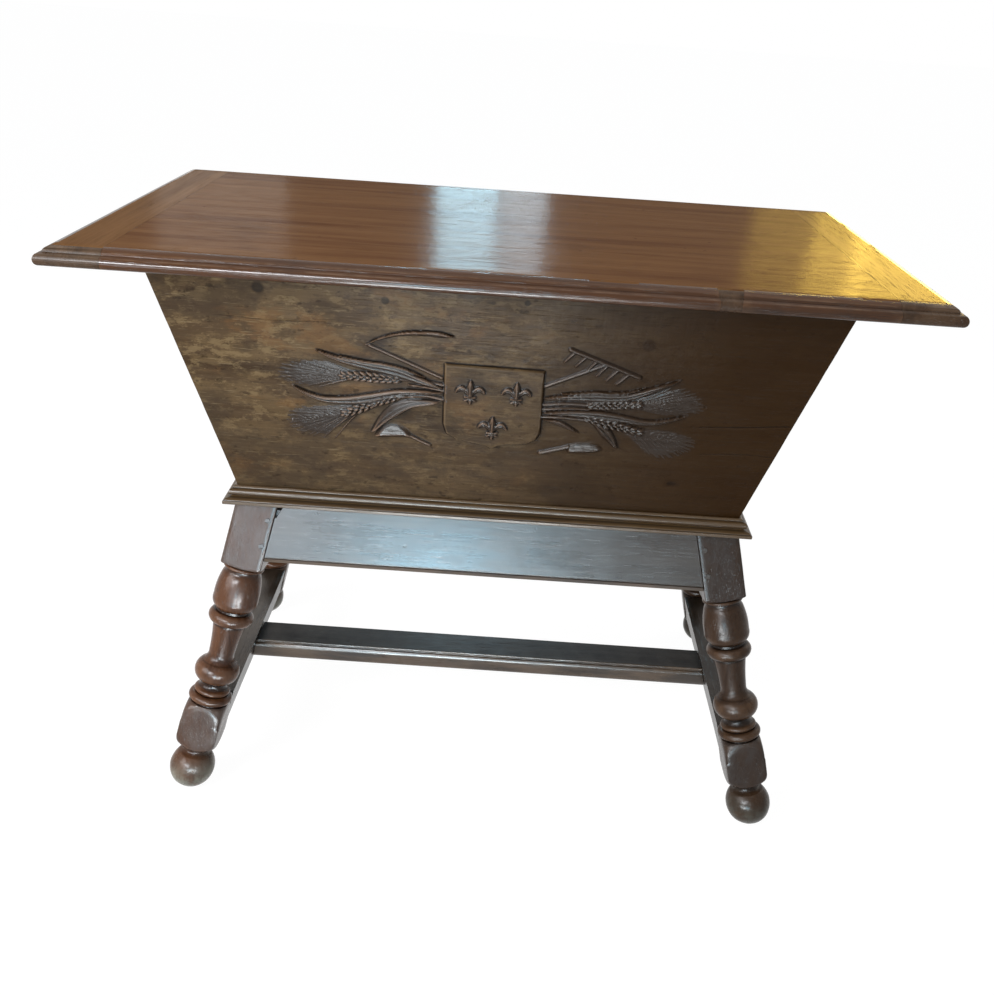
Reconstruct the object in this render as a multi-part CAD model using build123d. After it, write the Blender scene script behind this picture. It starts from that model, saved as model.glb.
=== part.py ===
"""Antique dough box: a splayed, carved trough on a turned stand, under a hinged moulded lid.

Frame: origin on the floor under the middle of the lid, X along the length (right positive),
Y to the back, Z up.  Millimetres.
"""
import os
from math import atan, cos, hypot, radians, sin, sqrt, tan

from build123d import *

# ---------------------------------------------------------------- driving dimensions
# lid
LID_LENGTH = 1150.0
LID_DEPTH = 575.0
LID_THICK = 25.0
LID_TOP = 892.0            # height of the lid's upper face
LID_CORNER = 24.0          # rounding of the two back corners
LID_BACK_ROUND = 4.0
CLEAT_WIDTH = 82.0         # breadboard cleat at each end, moulding included
BOARD_SEAMS = (-92.0, 86.0)
TONGUE_LENGTH = 15.0
TONGUE_THICK = 8.0
TONGUE_SETBACK = 45.0
LID_REST = 0.3             # air between rim and closed lid
EDGE_OVOLO = 26.0          # width of the moulded edge
EDGE_OVOLO_DROP = 7.0
EDGE_QUIRK = 9.0           # nose to the foot of the quarter round
EDGE_QUIRK_DEPTH = 1.8
EDGE_FILLET = 2.6
EDGE_UNDERCUT = 6.0
EDGE_NOSE_Z = 8.0          # height of the nose's widest line above the underside
PATCH_X = 283.0
PATCH_WIDTH = 26.0
PATCH_DEPTH = 22.0
PATCH_FLARE = 4.0          # dovetail: wider at the back by this on each side

# trough
RIM_HALF_X = 461.8         # half size of the trough's outside at the rim
RIM_HALF_Y = 234.5
SPLAY = 12.9               # degrees, all four walls
PANEL_THICK = 22.0
END_THICK = 20.0
END_INSET = 14.0           # ends stand this far in from the ends of front and back
HOUSING = 8.0              # depth of the grooves that hold the ends
FLOOR_THICK = 22.0
FLOOR_LIP = 1.2            # floor boards reach this far past the wall's foot

# base moulding
MOULD_WIDTH = 19.0
MOULD_RISE = 4.0           # height above the floor boards' upper face
MOULD_BEAD = 1.4           # thin bead along the top
MOULD_BEAD_OUT = 5.2
MOULD_QUIRK = 3.8          # depth of the quirk between bead and torus
MOULD_TORUS = 5.2
MOULD_TORUS_OUT = 6.2      # centre of the torus from the wall's foot
MOULD_STEP = 3.2           # torus down to the sloping step
MOULD_FASCIA = 6.2         # torus down to the upright face

# stand
FRAME_TOP = 484.0          # upper ends of legs and aprons
LEG_TOP_X = 348.7          # leg axis at the frame's top
LEG_TOP_Y = 128.4
FOOT_X = 455.0             # leg axis at the ball's centre
FOOT_Y = 243.2
FOOT_Z = 35.2
BALL_R = 36.0
BLOCK = 64.0               # square blocks
APRON_BOTTOM = 388.0
APRON_THICK = 24.0
APRON_RECESS = 4.0         # behind the legs' faces
APRON_BEAD = 11.0          # rounded lower edge
APRON_GROOVE = 2.0         # groove above it, its depth and height
APRON_SPLIT_WIDTH = 9.0    # wedge broken out of the front apron's upper left corner
APRON_SPLIT_DEPTH = 22.0
STRETCH_BOTTOM = 82.0
STRETCH_HEIGHT = 58.0
STRETCH_THICK = 46.0
STRETCH_RECESS = 1.0
CENTRE_TOP = 127.8
CENTRE_THICK = 36.0
CENTRE_HALF = 31.0
CENTRE_BEAD = 4.8          # bead along both upper edges
CENTRE_BEAD_IN = 5.5
CENTRE_SHOULDER = 14.0     # top of the upright side below the upper face
CENTRE_TENON_IN = 9.0
TENON_THICK = 10.0
TENON_REACH = 20.0
TENON_SHOULDER = 14.0
PEG_R = 4.0
PEG_LENGTH = 26.0
PEG_ABOVE = 30.0           # apron pegs from the aprons' lower and upper edges
PEG_BELOW = 26.0
PEG_BACK = 11.0            # peg line in from the tenon's end
PEG_PROUD = 0.6

# hinges
HINGE_X = 300.0
KNUCKLES = 5
KNUCKLE_LENGTH = 14.0
KNUCKLE_GAP = 0.4
BARREL_R = 5.0
PIN_R = 2.5
PIN_HEAD_R = 3.8
PIN_HEAD = 1.6
LEAF_THICK = 2.0
LEAF_WIDTH = 36.0
BARREL_AIR = 0.5
SCREW_HEAD_R = 4.0
SCREW_R = 2.0
SCREW_LENGTH = 14.0
SCREWS_PER_LEAF = 3
SCREW_EDGE = 10.0          # first and last screw from the leaf's ends

# carving
SHIELD_HALF = 67.0
SHIELD_FOOT = 108.0        # heights are measured up the front wall from its foot
SHIELD_TOP = 246.0
SHIELD_RELIEF = 5.0
SHIELD_CORNER = 22.0       # height of the rounded lower corners
SHIELD_SWEEP = 9.0         # rise of the lower edge from its point
LEAF_RELIEF = 3.0
CARVING_ROOT = 2.0         # the raised forms grow out of the wall from this deep

# clearances
JOINT_GAP = 0.15           # between shoulders, seams and other wood that meets
TENON_GAP = 0.2
HOLE_GAP = 0.1
RUN_FIT = 0.06             # pin in the lid's knuckles

# ---------------------------------------------------------------- derived values
LID_BOTTOM = LID_TOP - LID_THICK
RIM_Z = LID_BOTTOM - LID_REST
BASE_Z = FRAME_TOP + FLOOR_THICK
SLOPE = tan(radians(SPLAY))
WALL_RUN = PANEL_THICK / cos(radians(SPLAY))     # wall thickness measured level
END_RUN = END_THICK / cos(radians(SPLAY))
BASE_HALF_X = RIM_HALF_X - (RIM_Z - BASE_Z) * SLOPE
BASE_HALF_Y = RIM_HALF_Y - (RIM_Z - BASE_Z) * SLOPE
LEAN_X = (FOOT_X - LEG_TOP_X) / (FRAME_TOP - FOOT_Z)
LEAN_Y = (FOOT_Y - LEG_TOP_Y) / (FRAME_TOP - FOOT_Z)
HALF = BLOCK / 2
FACE_X = HALF * sqrt(1 + LEAN_X ** 2)            # axis to block face, measured level
FACE_Y = HALF * sqrt(1 + LEAN_Y ** 2)
BIG = 2 * LID_LENGTH


def prism_x(points, half_length):
    """Solid with a (y, z) outline, running along X."""
    face = make_face(Polyline([(0, y, z) for y, z in points], close=True))
    return extrude(face, amount=half_length, dir=(1, 0, 0), both=True)


def prism_y(points, half_length):
    """Solid with an (x, z) outline, running along Y."""
    face = make_face(Polyline([(x, 0, z) for x, z in points], close=True))
    return extrude(face, amount=half_length, dir=(0, 1, 0), both=True)


def prism_z(points, z0, z1):
    """Solid with an (x, y) outline between two heights."""
    face = make_face(Polyline([(x, y, z0) for x, y in points], close=True))
    return extrude(face, amount=z1 - z0, dir=(0, 0, 1))


def slab(x0, x1, y0, y1, z0, z1):
    """Box between two corners."""
    return Pos((x0 + x1) / 2, (y0 + y1) / 2, (z0 + z1) / 2) * Box(x1 - x0, y1 - y0, z1 - z0)


def rod_x(x0, x1, y, z, r):
    return Pos((x0 + x1) / 2, y, z) * Rot(0, 90, 0) * Cylinder(r, x1 - x0)


def mirrored(shape, left=False, back=False):
    """The same shape on the other side of the middle planes."""
    if left:
        shape = mirror(shape, about=Plane.YZ)
    if back:
        shape = mirror(shape, about=Plane.XZ)
    return shape


def turned(start, *steps):
    """Solid of revolution about Z from (radius, height) steps; a step of two points is an arc."""
    edges, here = [], start
    for step in steps:
        if isinstance(step[0], tuple):
            mid, end = step
            edges.append(ThreePointArc((here[0], 0, here[1]), (mid[0], 0, mid[1]), (end[0], 0, end[1])))
        else:
            end = step
            edges.append(Line((here[0], 0, here[1]), (end[0], 0, end[1])))
        here = end
    edges.append(Line((here[0], 0, here[1]), (start[0], 0, start[1])))
    return revolve(make_face(Curve(edges)), Axis.Z)


# ---------------------------------------------------------------- stand
def leg_plane():
    """Frame of the front right leg: origin at the ball's centre, Z up the leaning axis."""
    axis = Vector(-LEAN_X, LEAN_Y, 1).normalized()
    across = (Vector(1, 0, 0) - axis * axis.X).normalized()
    return Plane(origin=(FOOT_X, -FOOT_Y, FOOT_Z), x_dir=across, z_dir=axis)


LEG_LENGTH = (FRAME_TOP - FOOT_Z) * sqrt(1 + LEAN_X ** 2 + LEAN_Y ** 2)
# turned members: radii, and heights along the leg's axis from the ball's centre
NECK_R = 20.5
LOW_BLOCK = 36.0
LOW_SHOULDER = 118.0
COLLAR_R = 34.5
COLLAR_TOP = 133.5
CAP_R = 28.5               # smaller ring on the collar
CAP_TOP = 143.0
BALL_LIP = radians(41)     # lip where the ball's top turns into a cove, above its middle
FOOT_NECK_R = 18.5
BULB_R = 35.3
BULB_FOOT = 154.0
BULB_MIDDLE = 174.0
BULB_LIP_R = 27.0
BULB_LIP = 189.0
BULB_TOP = 204.0           # end of the cove over the bulb
SHAFT_R = 25.5             # shaft where it meets the ring
RING_R = 35.4
RING_FOOT = 253.5
RING_TOP = 281.0
VASE_R = 35.4
VASE_FOOT_R = 27.0
VASE_BELLY = 300.0
VASE_SHOULDER = 341.0
VASE_TOP = 350.5
TOP_BLOCK = 357.0
FILLET = 3.5               # step between two turned members
CHAMFER = 26.0             # height of the turned slope at the foot of the lower block
CORNER_R = HALF * 1.6      # beyond the square's corners
ARCH_R = HALF * 1.42       # turned arch on the lower block's shoulders


def leg_shape():
    """Turned leg in its own frame, long enough to be cut level at the frame's top."""
    low, high = radians(50), BALL_LIP / 2
    lip_r, lip = BALL_R * cos(BALL_LIP), BALL_R * sin(BALL_LIP)
    foot = turned(
        (0, -BALL_R),
        ((BALL_R * sin(low), -BALL_R * cos(low)), (BALL_R, 0)),
        ((BALL_R * cos(high), BALL_R * sin(high)), (lip_r, lip)),
        (lip_r - 1.2, lip + 0.8),
        ((FOOT_NECK_R, LOW_BLOCK - 5), (NECK_R + 0.5, LOW_BLOCK + FILLET)),
        (0, LOW_BLOCK + FILLET))
    arch = LOW_SHOULDER - BALL_R + FILLET
    low_form = turned(
        (0, LOW_BLOCK),
        (NECK_R + 1, LOW_BLOCK),
        (CORNER_R, LOW_BLOCK + CHAMFER),
        (CORNER_R, arch),
        (ARCH_R, arch + FILLET),
        (((ARCH_R + HALF) / 2, LOW_SHOULDER - 2.5 * FILLET), (HALF + 1, LOW_SHOULDER)),
        (0, LOW_SHOULDER))
    low_block = Pos(0, 0, LOW_SHOULDER / 2) * Box(BLOCK, BLOCK, LOW_SHOULDER) & low_form
    shaft = turned(
        (0, LOW_SHOULDER - FILLET),
        (HALF - FILLET, LOW_SHOULDER - FILLET),
        (HALF - FILLET, LOW_SHOULDER + 2),
        ((COLLAR_R, (LOW_SHOULDER + 2 + COLLAR_TOP) / 2), (HALF - FILLET, COLLAR_TOP)),
        (CAP_R - FILLET, COLLAR_TOP + 0.5),
        ((CAP_R, (COLLAR_TOP + CAP_TOP) / 2), (CAP_R - FILLET, CAP_TOP)),
        ((NECK_R + 1, CAP_TOP + 3), (NECK_R + 1, BULB_FOOT)),
        ((BULB_R, BULB_MIDDLE), (BULB_LIP_R, BULB_LIP)),
        (BULB_LIP_R - 1.2, BULB_LIP + 0.8),
        ((NECK_R + 1, BULB_LIP + 7), (NECK_R, BULB_TOP)),
        (((NECK_R + SHAFT_R) / 2 - 0.8, (BULB_TOP + RING_FOOT) / 2), (SHAFT_R, RING_FOOT)),
        (SHAFT_R, RING_FOOT + FILLET),
        (SHAFT_R + FILLET, RING_FOOT + FILLET + 0.5),
        ((RING_R, (RING_FOOT + RING_TOP) / 2), (SHAFT_R + FILLET, RING_TOP - FILLET)),
        (VASE_FOOT_R, RING_TOP - FILLET + 0.5),
        (VASE_FOOT_R, RING_TOP),
        ((VASE_R - 1.4, RING_TOP + 8), (VASE_R, VASE_BELLY)),
        ((HALF + 2.2, (VASE_BELLY + VASE_SHOULDER) / 2 + 4), (HALF - 1.5, VASE_SHOULDER)),
        ((HALF - FILLET, VASE_SHOULDER + 5), (HALF - FILLET, VASE_TOP)),
        ((HALF, TOP_BLOCK - FILLET), (HALF - 3, TOP_BLOCK - 1)),
        (HALF - 3, TOP_BLOCK + FILLET),
        (0, TOP_BLOCK + FILLET))
    top_form = turned(
        (0, TOP_BLOCK),
        (HALF, TOP_BLOCK),
        (CORNER_R, TOP_BLOCK + 5),
        (CORNER_R, LEG_LENGTH + BLOCK),
        (0, LEG_LENGTH + BLOCK))
    top_block = Pos(0, 0, LEG_LENGTH) * Box(BLOCK, BLOCK, LEG_LENGTH) & top_form
    return foot + low_block + shaft + top_block


def leg_square(grow):
    """Endless square of a leg's blocks, a little larger, for cutting shoulders."""
    side = BLOCK + 2 * grow
    return leg_plane() * (Pos(0, 0, LEG_LENGTH / 2) * Box(side, side, 2 * LEG_LENGTH))


def axis_x(z):
    return LEG_TOP_X + (FRAME_TOP - z) * LEAN_X


def axis_y(z):
    return LEG_TOP_Y + (FRAME_TOP - z) * LEAN_Y


def board_edge(face, bead, away):
    """Beaded lower edge as (distance past the face's foot, height above it)."""
    if not bead:
        return [(face, 0)]
    groove = APRON_GROOVE
    return [(face + away * bead, 0), (face + away * 0.3 * bead, 0.3 * bead), (face, bead),
            (face + away * groove, bead + 0.2 * groove), (face + away * groove, bead + 1.1 * groove),
            (face + away * 0.3 * groove, bead + 1.3 * groove)]


def front_board(z0, z1, outer, inner, end, bead=0.0):
    """Leaning board between the front legs; outer, inner and end are distances from the axes."""
    side = [(-axis_y(z1) - outer, z1), (-axis_y(z1) - inner, z1), (-axis_y(z0) - inner, z0)]
    side += [(y, z0 + up) for y, up in board_edge(-axis_y(z0) - outer, bead, 1)]
    ends = [(axis_x(z1) + end, z1), (axis_x(z0) + end, z0), (-axis_x(z0) - end, z0), (-axis_x(z1) - end, z1)]
    return prism_x(side, BIG) & prism_y(ends, BIG)


def side_board(z0, z1, outer, inner, end, bead=0.0):
    """Leaning board between the two right legs."""
    side = [(axis_x(z1) + outer, z1), (axis_x(z1) + inner, z1), (axis_x(z0) + inner, z0)]
    side += [(x, z0 + up) for x, up in board_edge(axis_x(z0) + outer, bead, -1)]
    ends = [(axis_y(z1) + end, z1), (axis_y(z0) + end, z0), (-axis_y(z0) - end, z0), (-axis_y(z1) - end, z1)]
    return prism_y(side, BIG) & prism_x(ends, BIG)


def between(board, squares):
    """Middle piece of a board once the legs' squares are cut out of it."""
    for square in squares:
        board = board - square
    return min(board.solids(), key=lambda s: abs(s.center().X) + abs(s.center().Y))


APRON_OUT_X = FACE_X - APRON_RECESS
APRON_OUT_Y = FACE_Y - APRON_RECESS
TENON_OUT = APRON_OUT_Y - (APRON_THICK - TENON_THICK) / 2
TENON_END_X = -(FACE_X - TENON_REACH)
TENON_END_Y = -(FACE_Y - TENON_REACH)
STRETCH_TOP = STRETCH_BOTTOM + STRETCH_HEIGHT
STRETCH_IN = -(FACE_X - STRETCH_RECESS)
STRETCH_OUT = STRETCH_IN + STRETCH_THICK
STRETCH_TENON_OUT = STRETCH_OUT - (STRETCH_THICK - TENON_THICK) / 2


def tenon_front(gap):
    return front_board(
        APRON_BOTTOM + TENON_SHOULDER - gap, FRAME_TOP - TENON_SHOULDER + gap,
        TENON_OUT + gap, TENON_OUT - TENON_THICK - gap, TENON_END_X + gap)


def tenon_side(gap):
    return side_board(
        APRON_BOTTOM + TENON_SHOULDER - gap, FRAME_TOP - TENON_SHOULDER + gap,
        TENON_OUT + gap, TENON_OUT - TENON_THICK - gap, TENON_END_Y + gap)


def tenon_stretcher(gap):
    return side_board(
        STRETCH_BOTTOM + TENON_SHOULDER - gap, STRETCH_TOP - TENON_SHOULDER + gap,
        STRETCH_TENON_OUT + gap, STRETCH_TENON_OUT - TENON_THICK - gap, TENON_END_Y + gap)


PEG_HEIGHTS = (APRON_BOTTOM + PEG_ABOVE, FRAME_TOP - PEG_BELOW)
PEG_INSET = FACE_Y - PEG_BACK                    # peg line, measured from the leg's axis


def apron_pegs(grow):
    """Four pegs of the front right leg: two through its front face, two through its side face."""
    pegs = []
    for z in PEG_HEIGHTS:
        start = -axis_y(z) - FACE_Y - 1.0
        pegs.append(Pos(axis_x(z) - PEG_INSET, start + PEG_LENGTH / 2, z)
                    * Rot(90, 0, 0) * Cylinder(PEG_R + grow, PEG_LENGTH + 2 * grow))
        start = axis_x(z) + FACE_X + 1.0
        pegs.append(Pos(start - PEG_LENGTH / 2, -axis_y(z) + PEG_INSET, z)
                    * Rot(0, 90, 0) * Cylinder(PEG_R + grow, PEG_LENGTH + 2 * grow))
    return pegs


def stretcher_peg(grow):
    """Peg of the side stretcher's tenon, through the outer face of the front right leg."""
    z = (STRETCH_BOTTOM + STRETCH_TOP) / 2
    start = axis_x(z) + FACE_X + 1.0
    length = FACE_X + 1.0 - STRETCH_TENON_OUT + TENON_THICK + 4.0
    return (Pos(start - length / 2, -axis_y(z) + PEG_INSET, z)
            * Rot(0, 90, 0) * Cylinder(PEG_R + grow, length + 2 * grow))


def broken_corner():
    """Wedge missing from the front apron beside the left leg."""
    edge = -axis_x(FRAME_TOP) + FACE_X
    foot = -axis_x(FRAME_TOP - APRON_SPLIT_DEPTH) + FACE_X
    outline = [(edge - FACE_X, FRAME_TOP + 1), (edge + APRON_SPLIT_WIDTH, FRAME_TOP + 1),
               (foot + 0.5, FRAME_TOP - APRON_SPLIT_DEPTH), (foot - FACE_X, FRAME_TOP - APRON_SPLIT_DEPTH)]
    return prism_y(outline, BIG)


def make_stand():
    parts = {}
    above = slab(-BIG, BIG, -BIG, BIG, FRAME_TOP, FRAME_TOP + BIG)
    below = slab(-BIG, BIG, -BIG, BIG, -BIG, 0)
    leg = leg_plane() * leg_shape() - above - below
    for cut in (tenon_front(TENON_GAP), tenon_side(TENON_GAP), tenon_stretcher(TENON_GAP)):
        leg = leg - cut
    for peg in apron_pegs(HOLE_GAP) + [stretcher_peg(HOLE_GAP)]:
        leg = leg - peg
    leg = max(leg.solids(), key=lambda s: s.volume)
    sides = (("front_right", False, False), ("front_left", True, False),
             ("back_right", False, True), ("back_left", True, True))
    for name, left, back in sides:
        parts["leg_" + name] = mirrored(leg, left, back)

    square = leg_square(JOINT_GAP)
    squares = [mirrored(square, left, back) for _, left, back in sides]
    pegs = apron_pegs(HOLE_GAP)
    holes = [mirrored(peg, left, back) for peg in pegs for _, left, back in sides]
    apron = between(front_board(APRON_BOTTOM, FRAME_TOP, APRON_OUT_Y, APRON_OUT_Y - APRON_THICK, HALF,
                                APRON_BEAD), squares)
    split = apron - broken_corner() + tenon_front(0)
    apron = apron + tenon_front(0)
    apron_side = between(side_board(APRON_BOTTOM, FRAME_TOP, APRON_OUT_X, APRON_OUT_X - APRON_THICK, HALF,
                                    APRON_BEAD), squares) + tenon_side(0)
    for hole in holes:
        apron = apron - hole
        split = split - hole
        apron_side = apron_side - hole
    parts["apron_front"] = split
    parts["apron_back"] = mirrored(apron, back=True)
    parts["apron_right"] = apron_side
    parts["apron_left"] = mirrored(apron_side, left=True)

    stretcher = between(side_board(STRETCH_BOTTOM, STRETCH_TOP, STRETCH_OUT, STRETCH_IN, HALF), squares)
    stretcher = stretcher + tenon_stretcher(0) - centre_tenon(TENON_GAP)
    for back in (False, True):
        stretcher = stretcher - mirrored(stretcher_peg(HOLE_GAP), back=back)
    parts["stretcher_right"] = stretcher
    parts["stretcher_left"] = mirrored(stretcher, left=True)
    parts["stretcher_centre"] = centre_stretcher()

    leg_faces = leg_square(PEG_PROUD)
    peg_solids = [peg & leg_faces for peg in apron_pegs(0) + [stretcher_peg(0)]]
    parts["leg_pegs"] = Compound([mirrored(peg, left, back).solid()
                                  for peg in peg_solids for _, left, back in sides])
    return parts


def centre_tenon(gap):
    """Both end tenons of the centre stretcher as one long tongue."""
    middle = CENTRE_TOP - CENTRE_THICK / 2
    reach = axis_x(middle) + STRETCH_IN + TENON_REACH + gap
    half = CENTRE_HALF - CENTRE_TENON_IN + gap
    return slab(-reach, reach, -half, half,
                middle - TENON_THICK / 2 - gap, middle + TENON_THICK / 2 + gap)


def centre_stretcher():
    """Flat rail with a beaded edge, from one side stretcher to the other."""
    top, bottom, half = CENTRE_TOP, CENTRE_TOP - CENTRE_THICK, CENTRE_HALF
    bead, inset, shoulder = CENTRE_BEAD, CENTRE_BEAD_IN, CENTRE_SHOULDER
    edge = [(half - inset + 0.5, top), (half - 0.65 * inset, top - 0.17 * bead),
            (half - 0.55 * inset, top - bead / 2), (half - 0.65 * inset, top - 0.83 * bead),
            (half - inset, top - bead), (half - inset, top - bead - 1.6),
            (half - inset / 2, top - shoulder / 2), (half - 0.1 * inset, top - 0.7 * shoulder),
            (half, top - shoulder), (half, bottom + 10), (half - 0.8, bottom + 4), (half - 4, bottom)]
    outline = [(-y, z) for y, z in edge] + [(y, z) for y, z in reversed(edge)]
    ends = [(axis_x(z) + STRETCH_IN - JOINT_GAP, z) for z in (bottom - 1, top + 1)]
    ends += [(-x, z) for x, z in reversed(ends)]
    return (prism_x(outline, BIG) & prism_y(ends, BIG)) + centre_tenon(0)


# ---------------------------------------------------------------- trough
def frustum(shrink_x, shrink_y, z0, z1):
    """Splayed block: the trough's outside made smaller by the given level distances."""
    def half(rim, shrink, z):
        return rim - (RIM_Z - z) * SLOPE - shrink
    side = [(half(RIM_HALF_Y, shrink_y, z0), z0), (half(RIM_HALF_Y, shrink_y, z1), z1)]
    ends = [(half(RIM_HALF_X, shrink_x, z0), z0), (half(RIM_HALF_X, shrink_x, z1), z1)]
    side += [(-y, z) for y, z in reversed(side)]
    ends += [(-x, z) for x, z in reversed(ends)]
    return prism_x(side, BIG) & prism_y(ends, BIG)


def wall_plane(back=False):
    """Outer face of the front (or back) wall: origin at its foot, Y up the slope, Z outwards."""
    out = 1 if back else -1
    angle = radians(SPLAY)
    return Plane(origin=(0, out * BASE_HALF_Y, BASE_Z), x_dir=(-out, 0, 0),
                 z_dir=(0, out * cos(angle), -sin(angle)))


def leaf_outline(start, bow, end):
    """Long leaf between two points, bellied by bow to one side and half of it to the other."""
    across = (-(end[1] - start[1]), end[0] - start[0])
    length = hypot(*across)
    middle = ((start[0] + end[0]) / 2, (start[1] + end[1]) / 2)
    side_a = (middle[0] + across[0] / length * bow, middle[1] + across[1] / length * bow)
    side_b = (middle[0] - across[0] / length * bow / 2, middle[1] - across[1] / length * bow / 2)
    return make_face(Curve([ThreePointArc(start, side_a, end), ThreePointArc(end, side_b, start)]))


# leaves, ears and tool handles beside the shield: start, belly and end up the wall
SPRAY = (((-244, 254), 7, (-107, 219)), ((-281, 193), 8, (-84, 197)), ((-288, 206), 15, (-139, 218)),
         ((-293, 128), 15, (-139, 190)), ((-172, 122), 8, (-94, 180)), ((-175, 271), 13, (-60, 291)),
         ((-166, 266), 4, (-82, 228)),
         ((251, 247), 9, (86, 199)), ((268, 184), 7, (84, 174)), ((289, 208), 15, (139, 200)),
         ((288, 122), 15, (137, 167)), ((176, 124), 6, (147, 163)), ((195, 246), 5, (97, 282)),
         ((143, 259), 4, (86, 230)))


def shield():
    """Raised shield with a low point at its foot."""
    w, foot, top = SHIELD_HALF, SHIELD_FOOT, SHIELD_TOP
    corner, sweep = foot + SHIELD_CORNER, SHIELD_SWEEP
    bend, middle = 0.62 * w, 0.25 * w
    outline = Curve([
        Line((-w, top), (w, top)),
        Line((w, top), (w, corner)),
        ThreePointArc((w, corner), (0.86 * w, foot + 1.2 * sweep), (bend, foot + sweep)),
        ThreePointArc((bend, foot + sweep), (middle, foot + 0.67 * sweep), (0, foot)),
        ThreePointArc((0, foot), (-middle, foot + 0.67 * sweep), (-bend, foot + sweep)),
        ThreePointArc((-bend, foot + sweep), (-0.86 * w, foot + 1.2 * sweep), (-w, corner)),
        Line((-w, corner), (-w, top))])
    return make_face(outline)


def carving():
    """Shield and sprays as low solids that grow out of the front wall."""
    plane = wall_plane()
    down = Pos(0, 0, -CARVING_ROOT)
    boss = extrude(down * shield(), amount=SHIELD_RELIEF + CARVING_ROOT, dir=(0, 0, 1))
    sprays = [extrude(down * leaf_outline(*leaf), amount=LEAF_RELIEF + CARVING_ROOT, dir=(0, 0, 1))
              for leaf in SPRAY]
    return [plane * shape for shape in [boss] + sprays]


def end_panel(gap):
    """Right end wall with the edges that sit in the grooves of front and back."""
    block = frustum(END_INSET - gap, WALL_RUN - HOUSING - gap, BASE_Z, RIM_Z)
    core = frustum(END_INSET + END_RUN + gap, 0, BASE_Z - 1, RIM_Z + 1)
    return (block - core) & slab(0, BIG, -BIG, BIG, 0, BIG)


def make_trough():
    parts = {}
    walls = frustum(0, 0, BASE_Z, RIM_Z) - frustum(-1, WALL_RUN, BASE_Z - 1, RIM_Z + 1)
    front = walls & slab(-BIG, BIG, -BIG, 0, 0, BIG)
    groove = end_panel(TENON_GAP)
    front = front - groove - mirrored(groove, left=True)
    back = mirrored(front, back=True)
    for relief in carving():
        front = front + relief
    for hole in trough_screws(HOLE_GAP):
        back = back - hole
    parts["panel_front"] = front
    parts["panel_back"] = back
    parts["panel_right"] = end_panel(0)
    parts["panel_left"] = mirrored(end_panel(0), left=True)

    half_x = BASE_HALF_X + FLOOR_LIP
    half_y = BASE_HALF_Y + FLOOR_LIP
    parts["floor_board_front"] = slab(-half_x, half_x, -half_y, -JOINT_GAP, FRAME_TOP, BASE_Z)
    parts["floor_board_back"] = slab(-half_x, half_x, JOINT_GAP, half_y, FRAME_TOP, BASE_Z)
    parts.update(base_mouldings(half_x + JOINT_GAP, half_y + JOINT_GAP))
    return parts


def moulding_section():
    """Half section of the base moulding: (distance out, height), inner face at 0."""
    w, h = MOULD_WIDTH, FLOOR_THICK + MOULD_RISE
    bead, torus, out = MOULD_BEAD, MOULD_TORUS, MOULD_BEAD_OUT
    steps = [(0, h), (out - 2.2, h), (out - 0.6, h - bead), (out, h - 1.9 * bead), (out - 0.4, h - MOULD_QUIRK)]
    middle = h - MOULD_QUIRK - torus
    for angle in range(75, -91, -15):
        steps.append((MOULD_TORUS_OUT + torus * cos(radians(angle)), middle + torus * sin(radians(angle))))
    foot = middle - torus
    steps += [(MOULD_TORUS_OUT + 1.4, foot - 0.25 * MOULD_STEP),
              (MOULD_TORUS_OUT + 3.2, foot - 0.7 * MOULD_STEP),
              (w - 3.4, foot - MOULD_STEP), (w - 2.0, foot - 0.71 * MOULD_FASCIA),
              (w - 1.6, foot - 0.87 * MOULD_FASCIA), (w, foot - MOULD_FASCIA),
              (w, 1.2), (w - 1.2, 0), (0, 0)]
    return steps


def base_mouldings(half_x, half_y):
    """Four mitred lengths round the floor boards, just outside the walls' feet."""
    w = MOULD_WIDTH
    outline = [(-half_x, -half_y), (half_x, -half_y), (half_x + w, -half_y - w), (-half_x - w, -half_y - w)]
    front = prism_x([(-half_y - out, FRAME_TOP + up) for out, up in moulding_section()], BIG)
    front = front & prism_z(outline, FRAME_TOP - 1, BIG)
    outline = [(half_x, -half_y), (half_x, half_y), (half_x + w, half_y + w), (half_x + w, -half_y - w)]
    right = prism_y([(half_x + out, FRAME_TOP + up) for out, up in moulding_section()], BIG)
    right = right & prism_z(outline, FRAME_TOP - 1, BIG)
    return {"moulding_front": front, "moulding_back": mirrored(front, back=True),
            "moulding_right": right, "moulding_left": mirrored(right, left=True)}


# ---------------------------------------------------------------- lid
def lid_edge(nose):
    """Moulded edge from the flat to the underside, as (position, height); nose is the outermost."""
    inward = -1 if nose > 0 else 1
    top, bottom = LID_TOP, LID_BOTTOM
    quarter = EDGE_QUIRK + 0.5
    points = []
    for angle in range(0, 91, 15):
        run = (EDGE_OVOLO - quarter) * (1 - sin(radians(angle)))
        drop = EDGE_OVOLO_DROP * (1 - cos(radians(angle)))
        points.append((nose + inward * (quarter + run), top - drop))
    start = top - EDGE_OVOLO_DROP - EDGE_QUIRK_DEPTH
    points += [(nose + inward * EDGE_QUIRK, start + EDGE_QUIRK_DEPTH / 3),
               (nose + inward * (EDGE_QUIRK - EDGE_FILLET), start)]
    centre = bottom + EDGE_NOSE_Z
    for angle in range(60, -91, -15):
        reach = 1 - cos(radians(angle))
        up = (start - centre) if angle > 0 else (centre - bottom)
        points.append((nose + inward * EDGE_UNDERCUT * reach, centre + up * sin(radians(angle))))
    return points


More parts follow.
